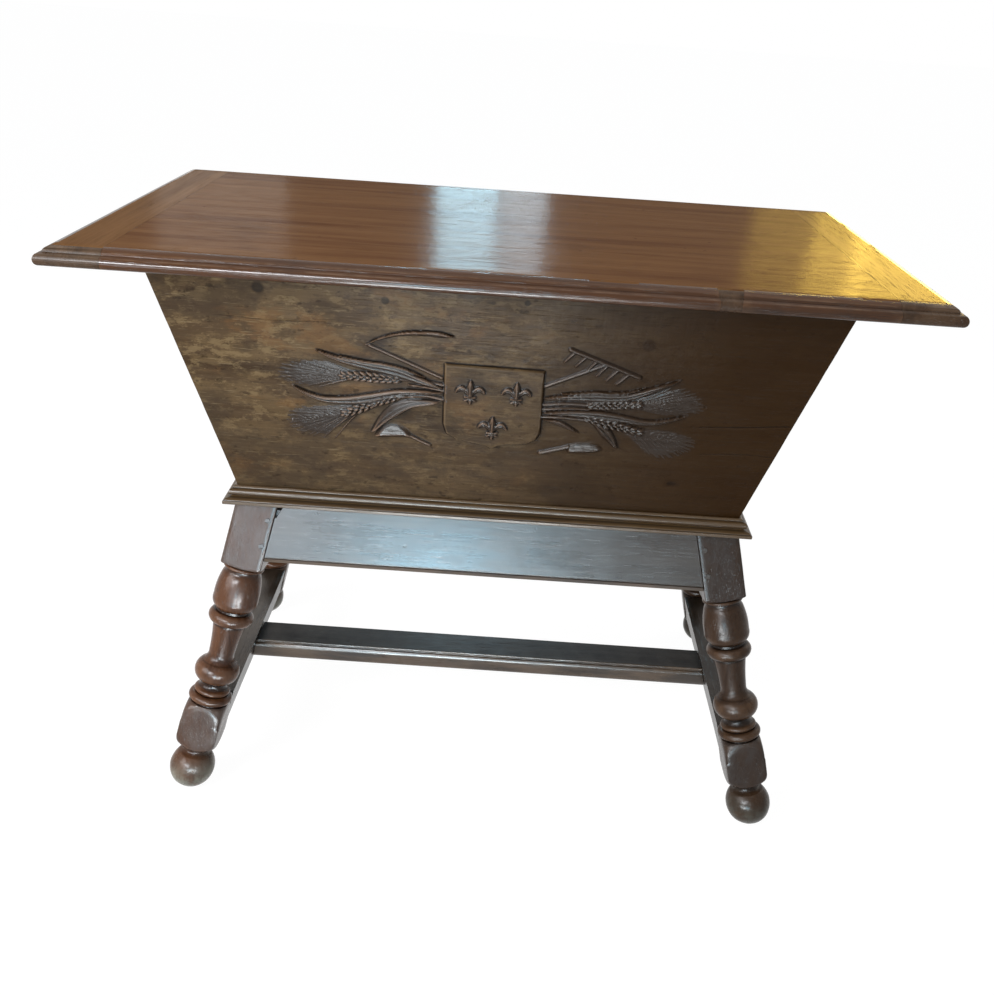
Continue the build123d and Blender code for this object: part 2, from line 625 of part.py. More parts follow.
def lid_slab():
    """Whole lid: moulding on the front and both ends, plain rounded back edge."""
    front = lid_edge(-LID_DEPTH / 2)
    back = LID_DEPTH / 2
    r = LID_BACK_ROUND
    rear = [(back - r, LID_BOTTOM), (back - 0.3 * r, LID_BOTTOM + 0.3 * r), (back, LID_BOTTOM + r),
            (back, LID_TOP - r), (back - 0.3 * r, LID_TOP - 0.3 * r), (back - r, LID_TOP)]
    along = prism_x(front + rear, BIG)
    right = lid_edge(LID_LENGTH / 2)
    across = prism_y(right + [(-x, z) for x, z in reversed(right)], BIG)
    plan = Pos(0, 0, LID_BOTTOM - 1) * Box(LID_LENGTH, LID_DEPTH, LID_THICK + 2,
                                           align=(Align.CENTER, Align.CENTER, Align.MIN))
    corners = plan.edges().filter_by(Axis.Z).sort_by(Axis.Y)[-2:]
    return (along & across) & fillet(corners, LID_CORNER)


def lid_tongue(gap):
    """Tongue on the ends of the lid boards, held in the cleats' grooves."""
    middle = (LID_TOP + LID_BOTTOM) / 2
    reach = LID_LENGTH / 2 - CLEAT_WIDTH + TONGUE_LENGTH + gap
    return slab(-reach, reach, -LID_DEPTH / 2 + TONGUE_SETBACK - gap, LID_DEPTH / 2 - TONGUE_SETBACK + gap,
                middle - TONGUE_THICK / 2 - gap, middle + TONGUE_THICK / 2 + gap)


def cleat_pegs(grow):
    """Blind pegs from below through the right cleat and the boards' tongues."""
    x = LID_LENGTH / 2 - CLEAT_WIDTH + TONGUE_LENGTH / 2
    length = LID_THICK / 2 + TONGUE_THICK / 2 + 3.0
    rows = [(-LID_DEPTH / 2 + BOARD_SEAMS[0]) / 2, sum(BOARD_SEAMS) / 2, (LID_DEPTH / 2 + BOARD_SEAMS[1]) / 2]
    return [Pos(x, y, LID_BOTTOM + length / 2 + grow) * Cylinder(PEG_R + grow, length + 2 * grow)
            for y in rows]


def patch_box(grow):
    """Dovetailed repair in the front moulding."""
    w, d = PATCH_WIDTH / 2 + grow, PATCH_DEPTH + grow
    edge = -LID_DEPTH / 2
    wide = w + PATCH_FLARE
    outline = [(PATCH_X - w, edge - 1), (PATCH_X + w, edge - 1),
               (PATCH_X + wide, edge + d), (PATCH_X - wide, edge + d)]
    return prism_z(outline, LID_BOTTOM - 1, LID_TOP + 1)


def make_lid():
    parts = {}
    whole = lid_slab()
    inner = LID_LENGTH / 2 - CLEAT_WIDTH
    cleat = whole & slab(inner, BIG, -BIG, BIG, 0, BIG)
    cleat = cleat - lid_tongue(TENON_GAP)
    pegs = cleat_pegs(HOLE_GAP)
    for peg in pegs:
        cleat = cleat - peg
    parts["lid_cleat_right"] = cleat
    parts["lid_cleat_left"] = mirrored(cleat, left=True)

    boards = (whole & slab(-inner + JOINT_GAP, inner - JOINT_GAP, -BIG, BIG, 0, BIG)) + lid_tongue(0)
    for peg in pegs:
        boards = boards - peg - mirrored(peg, left=True)
    for hole in lid_screws(HOLE_GAP):
        boards = boards - hole
    limits = (-BIG,) + BOARD_SEAMS + (BIG,)
    for index, name in enumerate(("front", "middle", "back")):
        board = boards & slab(-BIG, BIG, limits[index] + JOINT_GAP / 2, limits[index + 1] - JOINT_GAP / 2, 0, BIG)
        parts["lid_board_" + name] = board
    parts["lid_edge_patch"] = parts["lid_board_front"] & patch_box(-JOINT_GAP)
    parts["lid_board_front"] = parts["lid_board_front"] - patch_box(0)
    solids = [mirrored(peg, left).solid() for peg in cleat_pegs(0) for left in (False, True)]
    parts["lid_pegs"] = Compound(solids)
    return parts


# ---------------------------------------------------------------- hinges
HINGE_Z = LID_BOTTOM - BARREL_R - BARREL_AIR
HINGE_Y = RIM_HALF_Y - (RIM_Z - HINGE_Z) * SLOPE + (BARREL_R + BARREL_AIR) / cos(radians(SPLAY))
HINGE_HALF = KNUCKLES * KNUCKLE_LENGTH / 2
TAB = BARREL_R + 1.2


def knuckle_span(index):
    start = -HINGE_HALF + index * KNUCKLE_LENGTH
    return start + KNUCKLE_GAP / 2, start + KNUCKLE_LENGTH - KNUCKLE_GAP / 2


def hinge_plane():
    """Frame on the back wall behind the barrel: X along the wall, Y up the slope, Z outwards."""
    face = wall_plane(back=True)
    up = face.y_dir
    drop = Vector(0, HINGE_Y, HINGE_Z) - face.origin
    return Plane(origin=face.origin + up * drop.dot(up), x_dir=face.x_dir, z_dir=face.z_dir)


def screw_columns():
    reach = HINGE_HALF - SCREW_EDGE
    return [reach * (2 * index / (SCREWS_PER_LEAF - 1) - 1) for index in range(SCREWS_PER_LEAF)]


def screw(grow):
    """Countersunk screw along -Z with its head's top at the origin."""
    head = Pos(0, 0, -LEAF_THICK / 2) * Cone(SCREW_R + grow, SCREW_HEAD_R + grow, LEAF_THICK)
    shank = Pos(0, 0, -SCREW_LENGTH / 2) * Cylinder(SCREW_R + grow, SCREW_LENGTH + 2 * grow)
    return head + shank


def trough_screws(grow):
    plane = hinge_plane()
    drop = -(TAB + LEAF_WIDTH) / 2 - 1
    return [Pos(side * HINGE_X, 0, 0) * (plane * (Pos(x, drop, LEAF_THICK) * screw(grow)))
            for side in (-1, 1) for x in screw_columns()]


def lid_screws(grow):
    y = HINGE_Y + (TAB + LEAF_WIDTH) / 2 + 2
    return [Pos(side * HINGE_X + x, y, LID_BOTTOM - LEAF_THICK) * Rot(180, 0, 0) * screw(grow)
            for side in (-1, 1) for x in screw_columns()]


def trough_leaf():
    plane = hinge_plane()
    leaf = Pos(0, -(TAB + LEAF_WIDTH) / 2, LEAF_THICK / 2) * Box(
        2 * HINGE_HALF, LEAF_WIDTH - TAB, LEAF_THICK)
    for index in range(0, KNUCKLES, 2):
        x0, x1 = knuckle_span(index)
        leaf = leaf + Pos((x0 + x1) / 2, -TAB / 2 - 0.5, LEAF_THICK / 2) * Box(x1 - x0, TAB + 1, LEAF_THICK)
        leaf = leaf + Pos((x0 + x1) / 2, 0, BARREL_R + BARREL_AIR) * Rot(0, 90, 0) * Cylinder(BARREL_R, x1 - x0)
    return plane * leaf


def lid_leaf():
    leaf = slab(-HINGE_HALF, HINGE_HALF, HINGE_Y + TAB, HINGE_Y + LEAF_WIDTH, LID_BOTTOM - LEAF_THICK, LID_BOTTOM)
    for index in range(1, KNUCKLES, 2):
        x0, x1 = knuckle_span(index)
        leaf = leaf + slab(x0, x1, HINGE_Y, HINGE_Y + TAB + 1, LID_BOTTOM - LEAF_THICK, LID_BOTTOM)
        leaf = leaf + rod_x(x0, x1, HINGE_Y, HINGE_Z, BARREL_R)
    return leaf


def hinge_pin():
    half = HINGE_HALF
    pin = rod_x(-half - PIN_HEAD, half + PIN_HEAD, HINGE_Y, HINGE_Z, PIN_R)
    for side in (-1, 1):
        start, end = sorted((side * (half - KNUCKLE_GAP / 2), side * (half + PIN_HEAD)))
        pin = pin + rod_x(start, end, HINGE_Y, HINGE_Z, PIN_HEAD_R)
    return pin


def make_hinges():
    parts = {}
    trough_half, lid_half = trough_leaf(), lid_leaf()
    pin_hole = rod_x(-BIG, BIG, HINGE_Y, HINGE_Z, PIN_R)
    lid_hole = rod_x(-BIG, BIG, HINGE_Y, HINGE_Z, PIN_R + RUN_FIT)
    trough_half, lid_half = trough_half - pin_hole, lid_half - lid_hole
    for name, side in (("left", -1), ("right", 1)):
        place = Pos(side * HINGE_X, 0, 0)
        leaf = place * trough_half
        for hole in trough_screws(HOLE_GAP):
            leaf = leaf - hole
        parts["hinge_trough_leaf_" + name] = leaf
        leaf = place * lid_half
        for hole in lid_screws(HOLE_GAP):
            leaf = leaf - hole
        parts["hinge_lid_leaf_" + name] = leaf
        parts["hinge_pin_" + name] = place * hinge_pin()
    parts["hinge_trough_screws"] = Compound([s.solid() for s in trough_screws(0)])
    parts["hinge_lid_screws"] = Compound([s.solid() for s in lid_screws(0)])
    return parts


def write(parts):
    os.makedirs("parts", exist_ok=True)
    for name, shape in sorted(parts.items()):
        shape.label = name
        export_step(shape, f"parts/{name}.step")
        print(f"{name}: {len(shape.solids())} solids, {shape.volume / 1000:.1f} cm3")


if __name__ == "__main__":
    model = {}
    for make in (make_stand, make_trough, make_lid, make_hinges):
        model.update(make())
    write(model)
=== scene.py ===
"""Looks of the antique dough box: worn polished wood, turned legs, carved front, moulded lid."""
from math import cos, pi, radians, sin, sqrt, tan

import bmesh
import bpy
import numpy as np
from mathutils import Matrix, Vector, noise


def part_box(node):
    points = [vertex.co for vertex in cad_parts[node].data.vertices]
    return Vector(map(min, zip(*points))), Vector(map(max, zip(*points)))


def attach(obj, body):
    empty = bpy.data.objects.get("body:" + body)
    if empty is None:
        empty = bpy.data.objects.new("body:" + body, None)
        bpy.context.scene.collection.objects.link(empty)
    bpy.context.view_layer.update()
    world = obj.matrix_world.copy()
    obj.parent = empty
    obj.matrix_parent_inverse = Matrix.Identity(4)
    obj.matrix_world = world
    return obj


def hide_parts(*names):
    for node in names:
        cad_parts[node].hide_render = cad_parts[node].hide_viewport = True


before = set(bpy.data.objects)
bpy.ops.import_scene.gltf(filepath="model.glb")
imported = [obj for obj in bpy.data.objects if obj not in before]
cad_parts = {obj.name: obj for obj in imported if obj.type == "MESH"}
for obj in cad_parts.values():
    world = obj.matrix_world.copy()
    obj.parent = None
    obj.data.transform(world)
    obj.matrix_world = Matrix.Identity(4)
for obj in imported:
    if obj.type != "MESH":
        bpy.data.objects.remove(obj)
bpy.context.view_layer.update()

STAND = "stand_and_trough"
LID = "lid"
MM = 0.001


# ---- camera
CAMERA_PLACE = (0.0114, -1.4315, 1.2078)
CAMERA_YAW, CAMERA_PITCH, CAMERA_ROLL = 0.0015, 0.4408, -0.0679
CAMERA_LENS, CAMERA_SENSOR = 34.85, 36
CAMERA_SHIFT = (-0.0042, -0.0527)


def add_camera():
    """Camera at the place from which the photograph was taken."""
    yaw, pitch, roll = CAMERA_YAW, CAMERA_PITCH, CAMERA_ROLL
    forward = Vector((sin(yaw) * cos(pitch), cos(yaw) * cos(pitch), -sin(pitch)))
    level = Vector((cos(yaw), -sin(yaw), 0))
    down = forward.cross(level)
    right = level * cos(roll) + down * sin(roll)
    down = down * cos(roll) - level * sin(roll)
    data = bpy.data.cameras.new("camera")
    data.sensor_fit = "HORIZONTAL"
    data.sensor_width = CAMERA_SENSOR
    data.lens = CAMERA_LENS
    data.shift_x, data.shift_y = CAMERA_SHIFT
    camera = bpy.data.objects.new("camera", data)
    turn = Matrix((right, -down, -forward)).transposed()
    camera.matrix_world = Matrix.Translation(CAMERA_PLACE) @ turn.to_4x4()
    bpy.context.collection.objects.link(camera)
    bpy.context.scene.camera = camera
    bpy.context.scene.view_settings.view_transform = "Standard"


# ---- light, floor and background
WORLD_LIGHT = 0.28
FLOOR_HALF = 30.0
FLOOR_GLOW = 1.12
FLOOR_GLOW_SHARE = 0.86       # of the floor's look that is plain white glow, seen directly
WINDOW_Y = 2.19
LAMP_COLOUR = (1.0, 0.66, 0.11)


def area_light(name, place, aim, size, power, colour):
    """Rectangular lamp that faces its aim."""
    data = bpy.data.lights.new(name, "AREA")
    data.shape = "RECTANGLE"
    data.size, data.size_y = size
    data.energy = power
    data.color = colour
    light = bpy.data.objects.new(name, data)
    light.location = place
    light.rotation_euler = (Vector(aim) - Vector(place)).to_track_quat("-Z", "Y").to_euler()
    bpy.context.collection.objects.link(light)
    return light


def sheen_light(*values):
    """Softbox that only gloss mirrors."""
    light = area_light(*values)
    light.visible_diffuse = False
    light.visible_camera = False
    return light


def add_node(nodes, kind, values=(), **settings):
    """New shader node with its inputs and settings."""
    node = nodes.new("ShaderNode" + kind)
    for name, value in settings.items():
        setattr(node, name, value)
    for name, value in dict(values).items():
        node.inputs[name].default_value = value
    return node


def white_when_seen(tree, output, lighting, white, share):
    """White, by its share, for camera, glossy and transmission rays; the lighting for all others."""
    nodes, links = tree.nodes, tree.links
    out = add_node(nodes, output)
    path = add_node(nodes, "LightPath")
    seen = path.outputs["Is Camera Ray"]
    for ray in ("Is Glossy Ray", "Is Transmission Ray"):
        either = add_node(nodes, "Math", operation="MAXIMUM")
        links.new(seen, either.inputs[0])
        links.new(path.outputs[ray], either.inputs[1])
        seen = either.outputs[0]
    if share < 1:
        scale = add_node(nodes, "Math", {1: share}, operation="MULTIPLY")
        links.new(seen, scale.inputs[0])
        seen = scale.outputs[0]
    mix = add_node(nodes, "MixShader")
    links.new(seen, mix.inputs["Fac"])
    links.new(lighting.outputs[0], mix.inputs[1])
    links.new(white.outputs[0], mix.inputs[2])
    links.new(mix.outputs[0], out.inputs["Surface"])


def add_world():
    """Soft light on the object, plain white to the camera and in reflections."""
    world = bpy.data.worlds.new("studio")
    bpy.context.scene.world = world
    world.use_nodes = True
    nodes = world.node_tree.nodes
    nodes.clear()
    soft = add_node(nodes, "Background", {"Color": (0.94, 0.96, 1.0, 1), "Strength": WORLD_LIGHT})
    white = add_node(nodes, "Background", {"Color": (1, 1, 1, 1), "Strength": 1.0})
    white_when_seen(world.node_tree, "OutputWorld", soft, white, 1.0)


def add_floor():
    """Level ground under the box."""
    mesh = bpy.data.meshes.new("floor")
    half = FLOOR_HALF
    corners = [(-half, -half, 0), (half, -half, 0), (half, half, 0), (-half, half, 0)]
    mesh.from_pydata(corners, [], [(0, 1, 2, 3)])
    floor = bpy.data.objects.new("floor", mesh)
    bpy.context.collection.objects.link(floor)
    paint = bpy.data.materials.new("pale_floor")
    paint.use_nodes = True
    nodes = paint.node_tree.nodes
    nodes.clear()
    plain = add_node(nodes, "BsdfDiffuse", {"Color": (0.8, 0.8, 0.8, 1)})
    glow = add_node(nodes, "Emission", {"Color": (1, 1, 1, 1), "Strength": FLOOR_GLOW})
    white_when_seen(paint.node_tree, "OutputMaterial", plain, glow, FLOOR_GLOW_SHARE)
    mesh.materials.append(paint)


def add_softboxes():
    """Softboxes that only the polish mirrors, low, left and on the floor."""
    sheen_light("haze_left", (-1.10, 2.2, 1.43), (-1.10, 0, 1.0), (0.5, 0.6), 3.2, (1.0, 0.93, 0.86))
    sheen_light("low_front", (-0.20, -2.6, 0.30), (-0.03, 0, 0.42), (0.50, 0.42), 27, (0.44, 0.79, 1.0))
    sheen_light("low_left", (-1.12, -2.6, 0.42), (-0.35, -0.14, 0.42), (0.7, 0.7), 16, (0.80, 0.90, 1.0))
    sheen_light("sky_left", (-0.95, -2.3, 1.35), (-0.1, -0.2, 0.6), (1.1, 0.32), 84, (0.88, 0.94, 1.0))
    sheen_light("floor_glow", (-0.12, -1.08, 0.03), (-0.12, -0.6, 0.6), (0.6, 0.34), 40, (0.84, 0.94, 1.0))
    for name, x in (("glint_left", -0.33), ("glint_right", 0.29)):
        sheen_light(name, (x, -1.64, 0.03), (x * 0.45, -0.19, 0.62), (0.18, 0.3), 6, (0.84, 0.95, 1.0))


def add_fill():
    """Soft light on the colours themselves."""
    area_light("fill_left", (-2.0, -1.6, 1.6), (0, 0, 0.5), (1.4, 1.4), 66, (0.98, 0.98, 1.0))
    area_light("fill_right", (2.3, 1.2, 1.4), (0.2, 0, 0.5), (1.2, 1.2), 9, (1.0, 0.90, 0.78))
    area_light("fill_top", (0.1, -0.6, 3.2), (0, 0, 0.5), (2.2, 2.2), 14, (1.0, 0.98, 0.95))


def add_window():
    """Far window with two panes in two rows, placed where the lid mirrors it."""
    sheen_light("window_haze", (-0.08, 2.2, 1.40), (-0.08, 0, 1.0), (0.42, 0.6), 9, (0.62, 0.84, 1.0))
    for row, (height, tall, share) in enumerate(((1.215, 0.20, 1.1), (1.555, 0.24, 1.25))):
        sheen_light(f"window_pane_{row}_left", (-0.17, WINDOW_Y, height), (-0.17, 0, 1.0), (0.22, tall),
                    4.4 * share, (0.46, 0.84, 1.0))
        sheen_light(f"window_pane_{row}_right", (0.045, WINDOW_Y, height), (0.045, 0, 1.0), (0.14, tall),
                    0.9 * share, (0.72, 0.86, 0.92))


def add_warm_lamp(receivers):
    """Warm lamp behind at the right; it reaches only the lid and the trough's panels."""
    group = bpy.data.collections.new("lit_by_lamp")
    for piece in receivers:
        group.objects.link(piece)
    for name, x, wide, power in (("core", 1.62, 0.62, 46), ("edge", 1.24, 0.20, 8.5),
                                 ("rim", 1.03, 0.26, 3.4)):
        lamp = sheen_light("lamp_" + name, (x, 2.2, 1.46), (0.33 * x, 0, 1.0), (wide, 0.62), power,
                           LAMP_COLOUR)
        lamp.light_linking.receiver_collection = group


# ---- materials
class Graph:
    """Short hand for building a material's nodes."""

    def __init__(self, name):
        self.material = bpy.data.materials.new(name)
        self.material.use_nodes = True
        self.nodes = self.material.node_tree.nodes
        self.links = self.material.node_tree.links
        self.shader = self.nodes["Principled BSDF"]
        self.place = self.nodes.new("ShaderNodeTexCoord").outputs["Object"]

    def fill(self, node, values):
        """Sets a node's inputs; each value is a number, a tuple or another node's output."""
        for name, value in values.items():
            if isinstance(value, bpy.types.NodeSocket):
                self.links.new(value, node.inputs[name])
            else:
                node.inputs[name].default_value = value
        return node.outputs

    def node(self, kind, values, **settings):
        return self.fill(add_node(self.nodes, kind, **settings), values)

    def math(self, operation, a, b=0.0):
        return self.node("Math", {0: a, 1: b}, operation=operation)[0]

    def add(self, a, b):
        return self.math("ADD", a, b)

    def times(self, a, b):
        return self.math("MULTIPLY", a, b)

    def scaled(self, vector, scale, turn=(0, 0, 0), shift=(0, 0, 0)):
        values = {"Vector": vector, "Scale": scale, "Rotation": turn, "Location": shift}
        return self.node("Mapping", values)[0]

    def noise(self, vector, scale=1.0, detail=3.0, rough=0.5):
        values = {"Vector": vector, "Scale": scale, "Detail": detail, "Roughness": rough}
        return self.node("TexNoise", values)["Fac"]

    def stretched(self, vector, scale, detail, rough=0.5, shift=(0, 0, 0)):
        """Noise with a size of its own along each axis."""
        return self.noise(self.scaled(vector, scale, shift=shift), 1.0, detail, rough)

    def cells(self, vector, scale):
        return self.node("TexVoronoi", {"Vector": vector, "Scale": scale})["Distance"]

    def ramp(self, value, low, high, to_low=0.0, to_high=1.0):
        values = {"Value": value, "From Min": low, "From Max": high, "To Min": to_low, "To Max": to_high}
        return self.node("MapRange", values, interpolation_type="SMOOTHSTEP")["Result"]

    def mix(self, share, a, b):
        return self.node("Mix", {"Factor": share, 6: a, 7: b}, data_type="RGBA")[2]

    def axes(self, vector):
        return self.node("SeparateXYZ", {0: vector})

    def spot(self, x, z):
        """Distance from a place on the front, seen square on."""
        node = add_node(self.nodes, "VectorMath", {1: (x, 0, z)}, operation="DISTANCE")
        self.links.new(self.scaled(self.place, (1, 0, 1)), node.inputs[0])
        return node.outputs["Value"]

    def attribute(self, name):
        return self.node("Attribute", {}, attribute_name=name)["Fac"]

    def bump(self, height, distance):
        return self.node("Bump", {"Strength": 0.5, "Distance": distance, "Height": height})[0]


def colour(r, g, b):
    """Linear colour of an sRGB triple."""
    def line(c):
        c /= 255
        return c / 12.92 if c <= 0.04045 else ((c + 0.055) / 1.055) ** 2.4
    return (line(r), line(g), line(b), 1)


def deeper(dark, share):
    """The same colour with only a share of its light."""
    return tuple(c * share for c in dark[:3]) + (1,)


TURNS = {"x": (0, 0, 0), "y": (0, 0, pi / 2), "z": (0, pi / 2, 0)}
RINGS = 150.0                 # growth rings, radians per metre across the board
RING_BEND = 26.0              # how far the rings wander, radians
STREAKS = (5, 150, 150)       # noise cells per metre, along and across the grain
BANDS = (1.6, 16, 16)
PORES = (22, 900, 900)
RIPPLES = (2.5, 30, 30)
PORE_SHADE = 0.42
DENT_SHADE = 0.45
DENT_DEPTH = 0.9


def figure(g, here):
    """Fine streaks, broad bands, and the tone that they and the growth rings add up to."""
    bend = g.stretched(here, (1.3, 5, 5), 2.0)
    ax = g.axes(here)
    across = g.add(g.times(ax[1], 1.0), g.times(ax[2], 0.6))
    lines = g.add(g.times(across, RINGS), g.times(bend, RING_BEND))
    rings = g.add(g.times(g.math("SINE", lines), 0.5), 0.5)
    streak = g.stretched(here, STREAKS, 5.0, 0.65)
    broad = g.stretched(here, BANDS, 4.0, 0.55)
    tone = g.add(g.times(streak, 0.5), g.times(broad, 0.8))
    tone = g.add(tone, g.times(rings, 0.10))
    return streak, broad, g.ramp(tone, 0.42, 0.98)


def marked(g, here, shade, dark, pores):
    """Open pores and small dents, darker than the wood round them."""
    pore = g.ramp(g.stretched(here, PORES, 2.0, 0.6), 0.58, 0.72)
    shade = g.mix(g.times(pore, PORE_SHADE * pores), shade, deeper(dark, 0.4))
    dent = g.ramp(g.cells(here, 34.0), 0.05, 0.13, 1.0, 0.0)
    dent = g.times(dent, g.ramp(g.noise(here, 21.0, 2.0), 0.55, 0.62))
    return g.mix(g.times(dent, DENT_SHADE), shade, deeper(dark, 0.3)), pore, dent


def handled(g, here, shade, dark, rubbed, rub_share, crease_dark_share):
    """Rubbed arrises, and darker colour in concave corners and grooves, where the mesh's marks say."""
    rub = g.ramp(g.attribute("rub"), 0.25, 0.9)
    rub = g.times(rub, g.ramp(g.noise(here, 30.0, 3.0, 0.6), 0.35, 0.65))
    shade = g.mix(g.times(rub, rub_share), shade, rubbed)
    # darker colour in concave corners and grooves
    crease_dark = g.times(g.ramp(g.attribute("crease_dark"), 0.05, 0.8), crease_dark_share)
    return g.mix(crease_dark, shade, deeper(dark, 0.22))


def surface(g, here, streak, pore, dent, pores, ripple, depth):
    """Bump of streaks, pores, dents and the plane's ripples."""
    height = g.math("SUBTRACT", g.times(streak, 0.5), g.times(pore, 0.5 * pores))
    height = g.math("SUBTRACT", height, g.times(dent, DENT_DEPTH))
    height = g.add(height, g.times(g.noise(here, 26.0, 2.0), 1.6))
    if ripple:
        wave = g.stretched(here, RIPPLES, 2.0)
        height = g.add(height, g.times(wave, ripple))
    return g.bump(height, depth)


def wood(name, dark, mid, light, grain, rough, specular, coat=0.0, coat_rough=0.2, stain=0.5, seed=0.0,
         pores=1.0, rubbed=None, rub_share=0.5, crease_dark_share=0.85, patches=None, finish=None, ripple=0.0,
         depth=0.0006):
    """Old polished wood with rings, streaks, pores, stains and dents; grain names the long axis."""
    g = Graph(name)
    dark, mid, light = colour(*dark), colour(*mid), colour(*light)
    here = g.scaled(g.place, (1, 1, 1), TURNS[grain], (seed, seed * 0.37, seed * 0.61))
    streak, broad, tone = figure(g, here)
    shade = g.mix(tone, dark, light)
    shade = g.mix(g.ramp(broad, 0.3, 0.7, 0.15, 0.7), shade, mid)
    blotch = g.noise(here, 7.0, 4.0, 0.6)
    if patches:
        shade = patches(g, here, shade, streak)
    shade = g.mix(g.ramp(blotch, 0.56, 0.76, 0.0, stain), shade, deeper(dark, 0.45))
    shade, pore, dent = marked(g, here, shade, dark, pores)
    rubbed = colour(*rubbed) if rubbed else light
    shade = handled(g, here, shade, dark, rubbed, rub_share, crease_dark_share)
    if finish:
        shade = finish(g, here, shade)
    gloss = g.add(g.times(streak, 0.35), g.times(blotch, 0.65))
    gloss = g.ramp(gloss, 0.3, 0.7, *rough)
    normal = surface(g, here, streak, pore, dent, pores, ripple, depth)
    g.fill(g.shader, {"Base Color": shade, "Roughness": gloss, "Specular IOR Level": specular,
                      "Coat Weight": coat, "Coat Roughness": coat_rough, "Normal": normal})
    if coat:
        g.fill(g.shader, {"Coat Normal": normal})
    return g.material


# knots of the front: place along it, height, radius
KNOTS = ((-0.1498, 0.835, 0.0055), (0.200, 0.795, 0.009), (-0.315, 0.842, 0.008), (0.035, 0.845, 0.004))


def old_varnish(g, here, shade, streak):
    """Worn varnish of the front: tan and golden places with torn edges, dark smoky ones, thin scratches, and
    painted shade over the right side.
    """
    ax = g.axes(g.place)
    left = g.ramp(ax[0], -0.25, 0.30, 1.0, 0.0)
    high = g.ramp(ax[2], 0.52, 0.76, 0.45, 1.0)
    zone = g.add(g.times(g.times(left, 0.85), high), 0.12)
    torn = g.stretched(here, (10, 26, 26), 10.0, 0.75)
    share = g.times(g.ramp(torn, 0.44, 0.54), zone)
    share = g.times(share, 0.7)
    shade = g.mix(share, shade, g.mix(streak, colour(94, 76, 50), colour(132, 110, 78)))
    small = g.stretched(here, (34, 70, 70), 8.0, 0.7, (1.0, 6.0, 2.0))
    share = g.times(g.ramp(small, 0.52, 0.60), zone)
    shade = g.mix(g.times(share, 0.5), shade, colour(148, 126, 90))
    gold = g.stretched(here, (5, 9, 9), 8.0, 0.66, (3.0, 1.0, 2.0))
    gold = g.times(g.ramp(gold, 0.54, 0.60), zone)
    shade = g.mix(g.times(gold, 0.45), shade, colour(128, 92, 54))
    smoke = g.stretched(here, (7, 10, 10), 8.0, 0.68, (7.0, 4.0, 1.0))
    shade = g.mix(g.ramp(smoke, 0.50, 0.60, 0.0, 0.55), shade, colour(66, 54, 42))
    fleck = g.stretched(here, (60, 110, 110), 4.0, 0.6, (2.0, 3.0, 8.0))
    shade = g.mix(g.ramp(fleck, 0.60, 0.70, 0.0, 0.6), shade, colour(38, 27, 17))
    scratch = g.stretched(here, (26, 520, 520), 3.0, 0.6)
    scratch = g.times(g.ramp(scratch, 0.60, 0.70), zone)
    shade = g.mix(g.times(scratch, 0.4), shade, colour(168, 148, 112))
    for x, z, size in KNOTS:
        share = g.ramp(g.spot(x, z), size * 0.7, size * 1.3, 0.8, 0.0)
        shade = g.mix(share, shade, colour(34, 25, 18))
    # painted shade: the right part of the front is darkened towards a deep brown
    painted_shade_right = g.ramp(ax[0], 0.02, 0.34, 0.0, 0.78)
    return g.mix(painted_shade_right, shade, colour(56, 33, 6))


def carved(high, high_share):
    """Finish of the front: darker motifs and ground round them, hollows near black as painted shade, rubbed
    high places with a painted highlight that fades to the right, and painted shade on the right.
    """
    def finish(g, here, shade):
        # side is 1 on the left and 0.3 on the right; it places the painted highlight and the painted shade
        # below
        side = g.ramp(g.axes(g.place)[0], -0.02, 0.16, 1.0, 0.3)
        shade = g.mix(g.ramp(g.attribute("halo"), 0.02, 0.5, 0.0, 0.5), shade, colour(60, 51, 43))
        shade = g.mix(g.ramp(g.attribute("motif"), 0.1, 0.8, 0.0, 0.6), shade, colour(46, 37, 30))
        # painted shade: the hollows of the relief turn near black
        shade = g.mix(g.ramp(g.attribute("hollow"), 0.22, 0.5, 0.9, 0.0), shade, colour(22, 15, 10))
        # high places lighter: partly real rubbing, partly painted highlight, weaker towards the right
        share = g.times(g.ramp(g.attribute("hollow"), 0.54, 0.85, 0.0, high_share), side)
        shade = g.mix(share, shade, colour(*high))
        # painted shade: the right side darkens towards a deep brown
        return g.mix(g.ramp(side, 0.3, 1.0, 0.45, 0.0), shade, colour(46, 29, 10))
    return finish


def leg_finish(tone):
    """Matte grey-brown square blocks and bleached, greenish feet; a tone below 1 darkens both as painted
    shade.
    """
    def shaded(r, g, b):
        return colour(r * tone, g * tone, b * tone)

    def finish(g, here, shade):
        dry = g.stretched(here, (14, 60, 60), 6.0, 0.6)
        block = g.times(g.ramp(g.attribute("block"), 0.4, 0.6), g.ramp(dry, 0.3, 0.6, 0.35, 0.75))
        shade = g.mix(block, shade, g.mix(dry, shaded(62, 54, 49), shaded(116, 107, 102)))
        low = g.ramp(g.axes(g.place)[2], 0.012, 0.072, 1.0, 0.0)
        patch = g.noise(here, 36.0, 6.0, 0.65)
        low = g.times(low, g.ramp(patch, 0.36, 0.58, 0.3, 0.95))
        return g.mix(low, shade, g.mix(patch, shaded(84, 88, 82), shaded(164, 166, 150)))
    return finish


def low_band(g, here, shade):
    """Paler worn bead along the aprons' lower edge."""
    low = g.ramp(g.axes(g.place)[2], 0.396, 0.402, 1.0, 0.0)
    patch = g.stretched(here, (6, 30, 30), 5.0, 0.6)
    return g.mix(g.times(low, g.ramp(patch, 0.38, 0.6, 0.1, 0.7)), shade, colour(112, 92, 72))


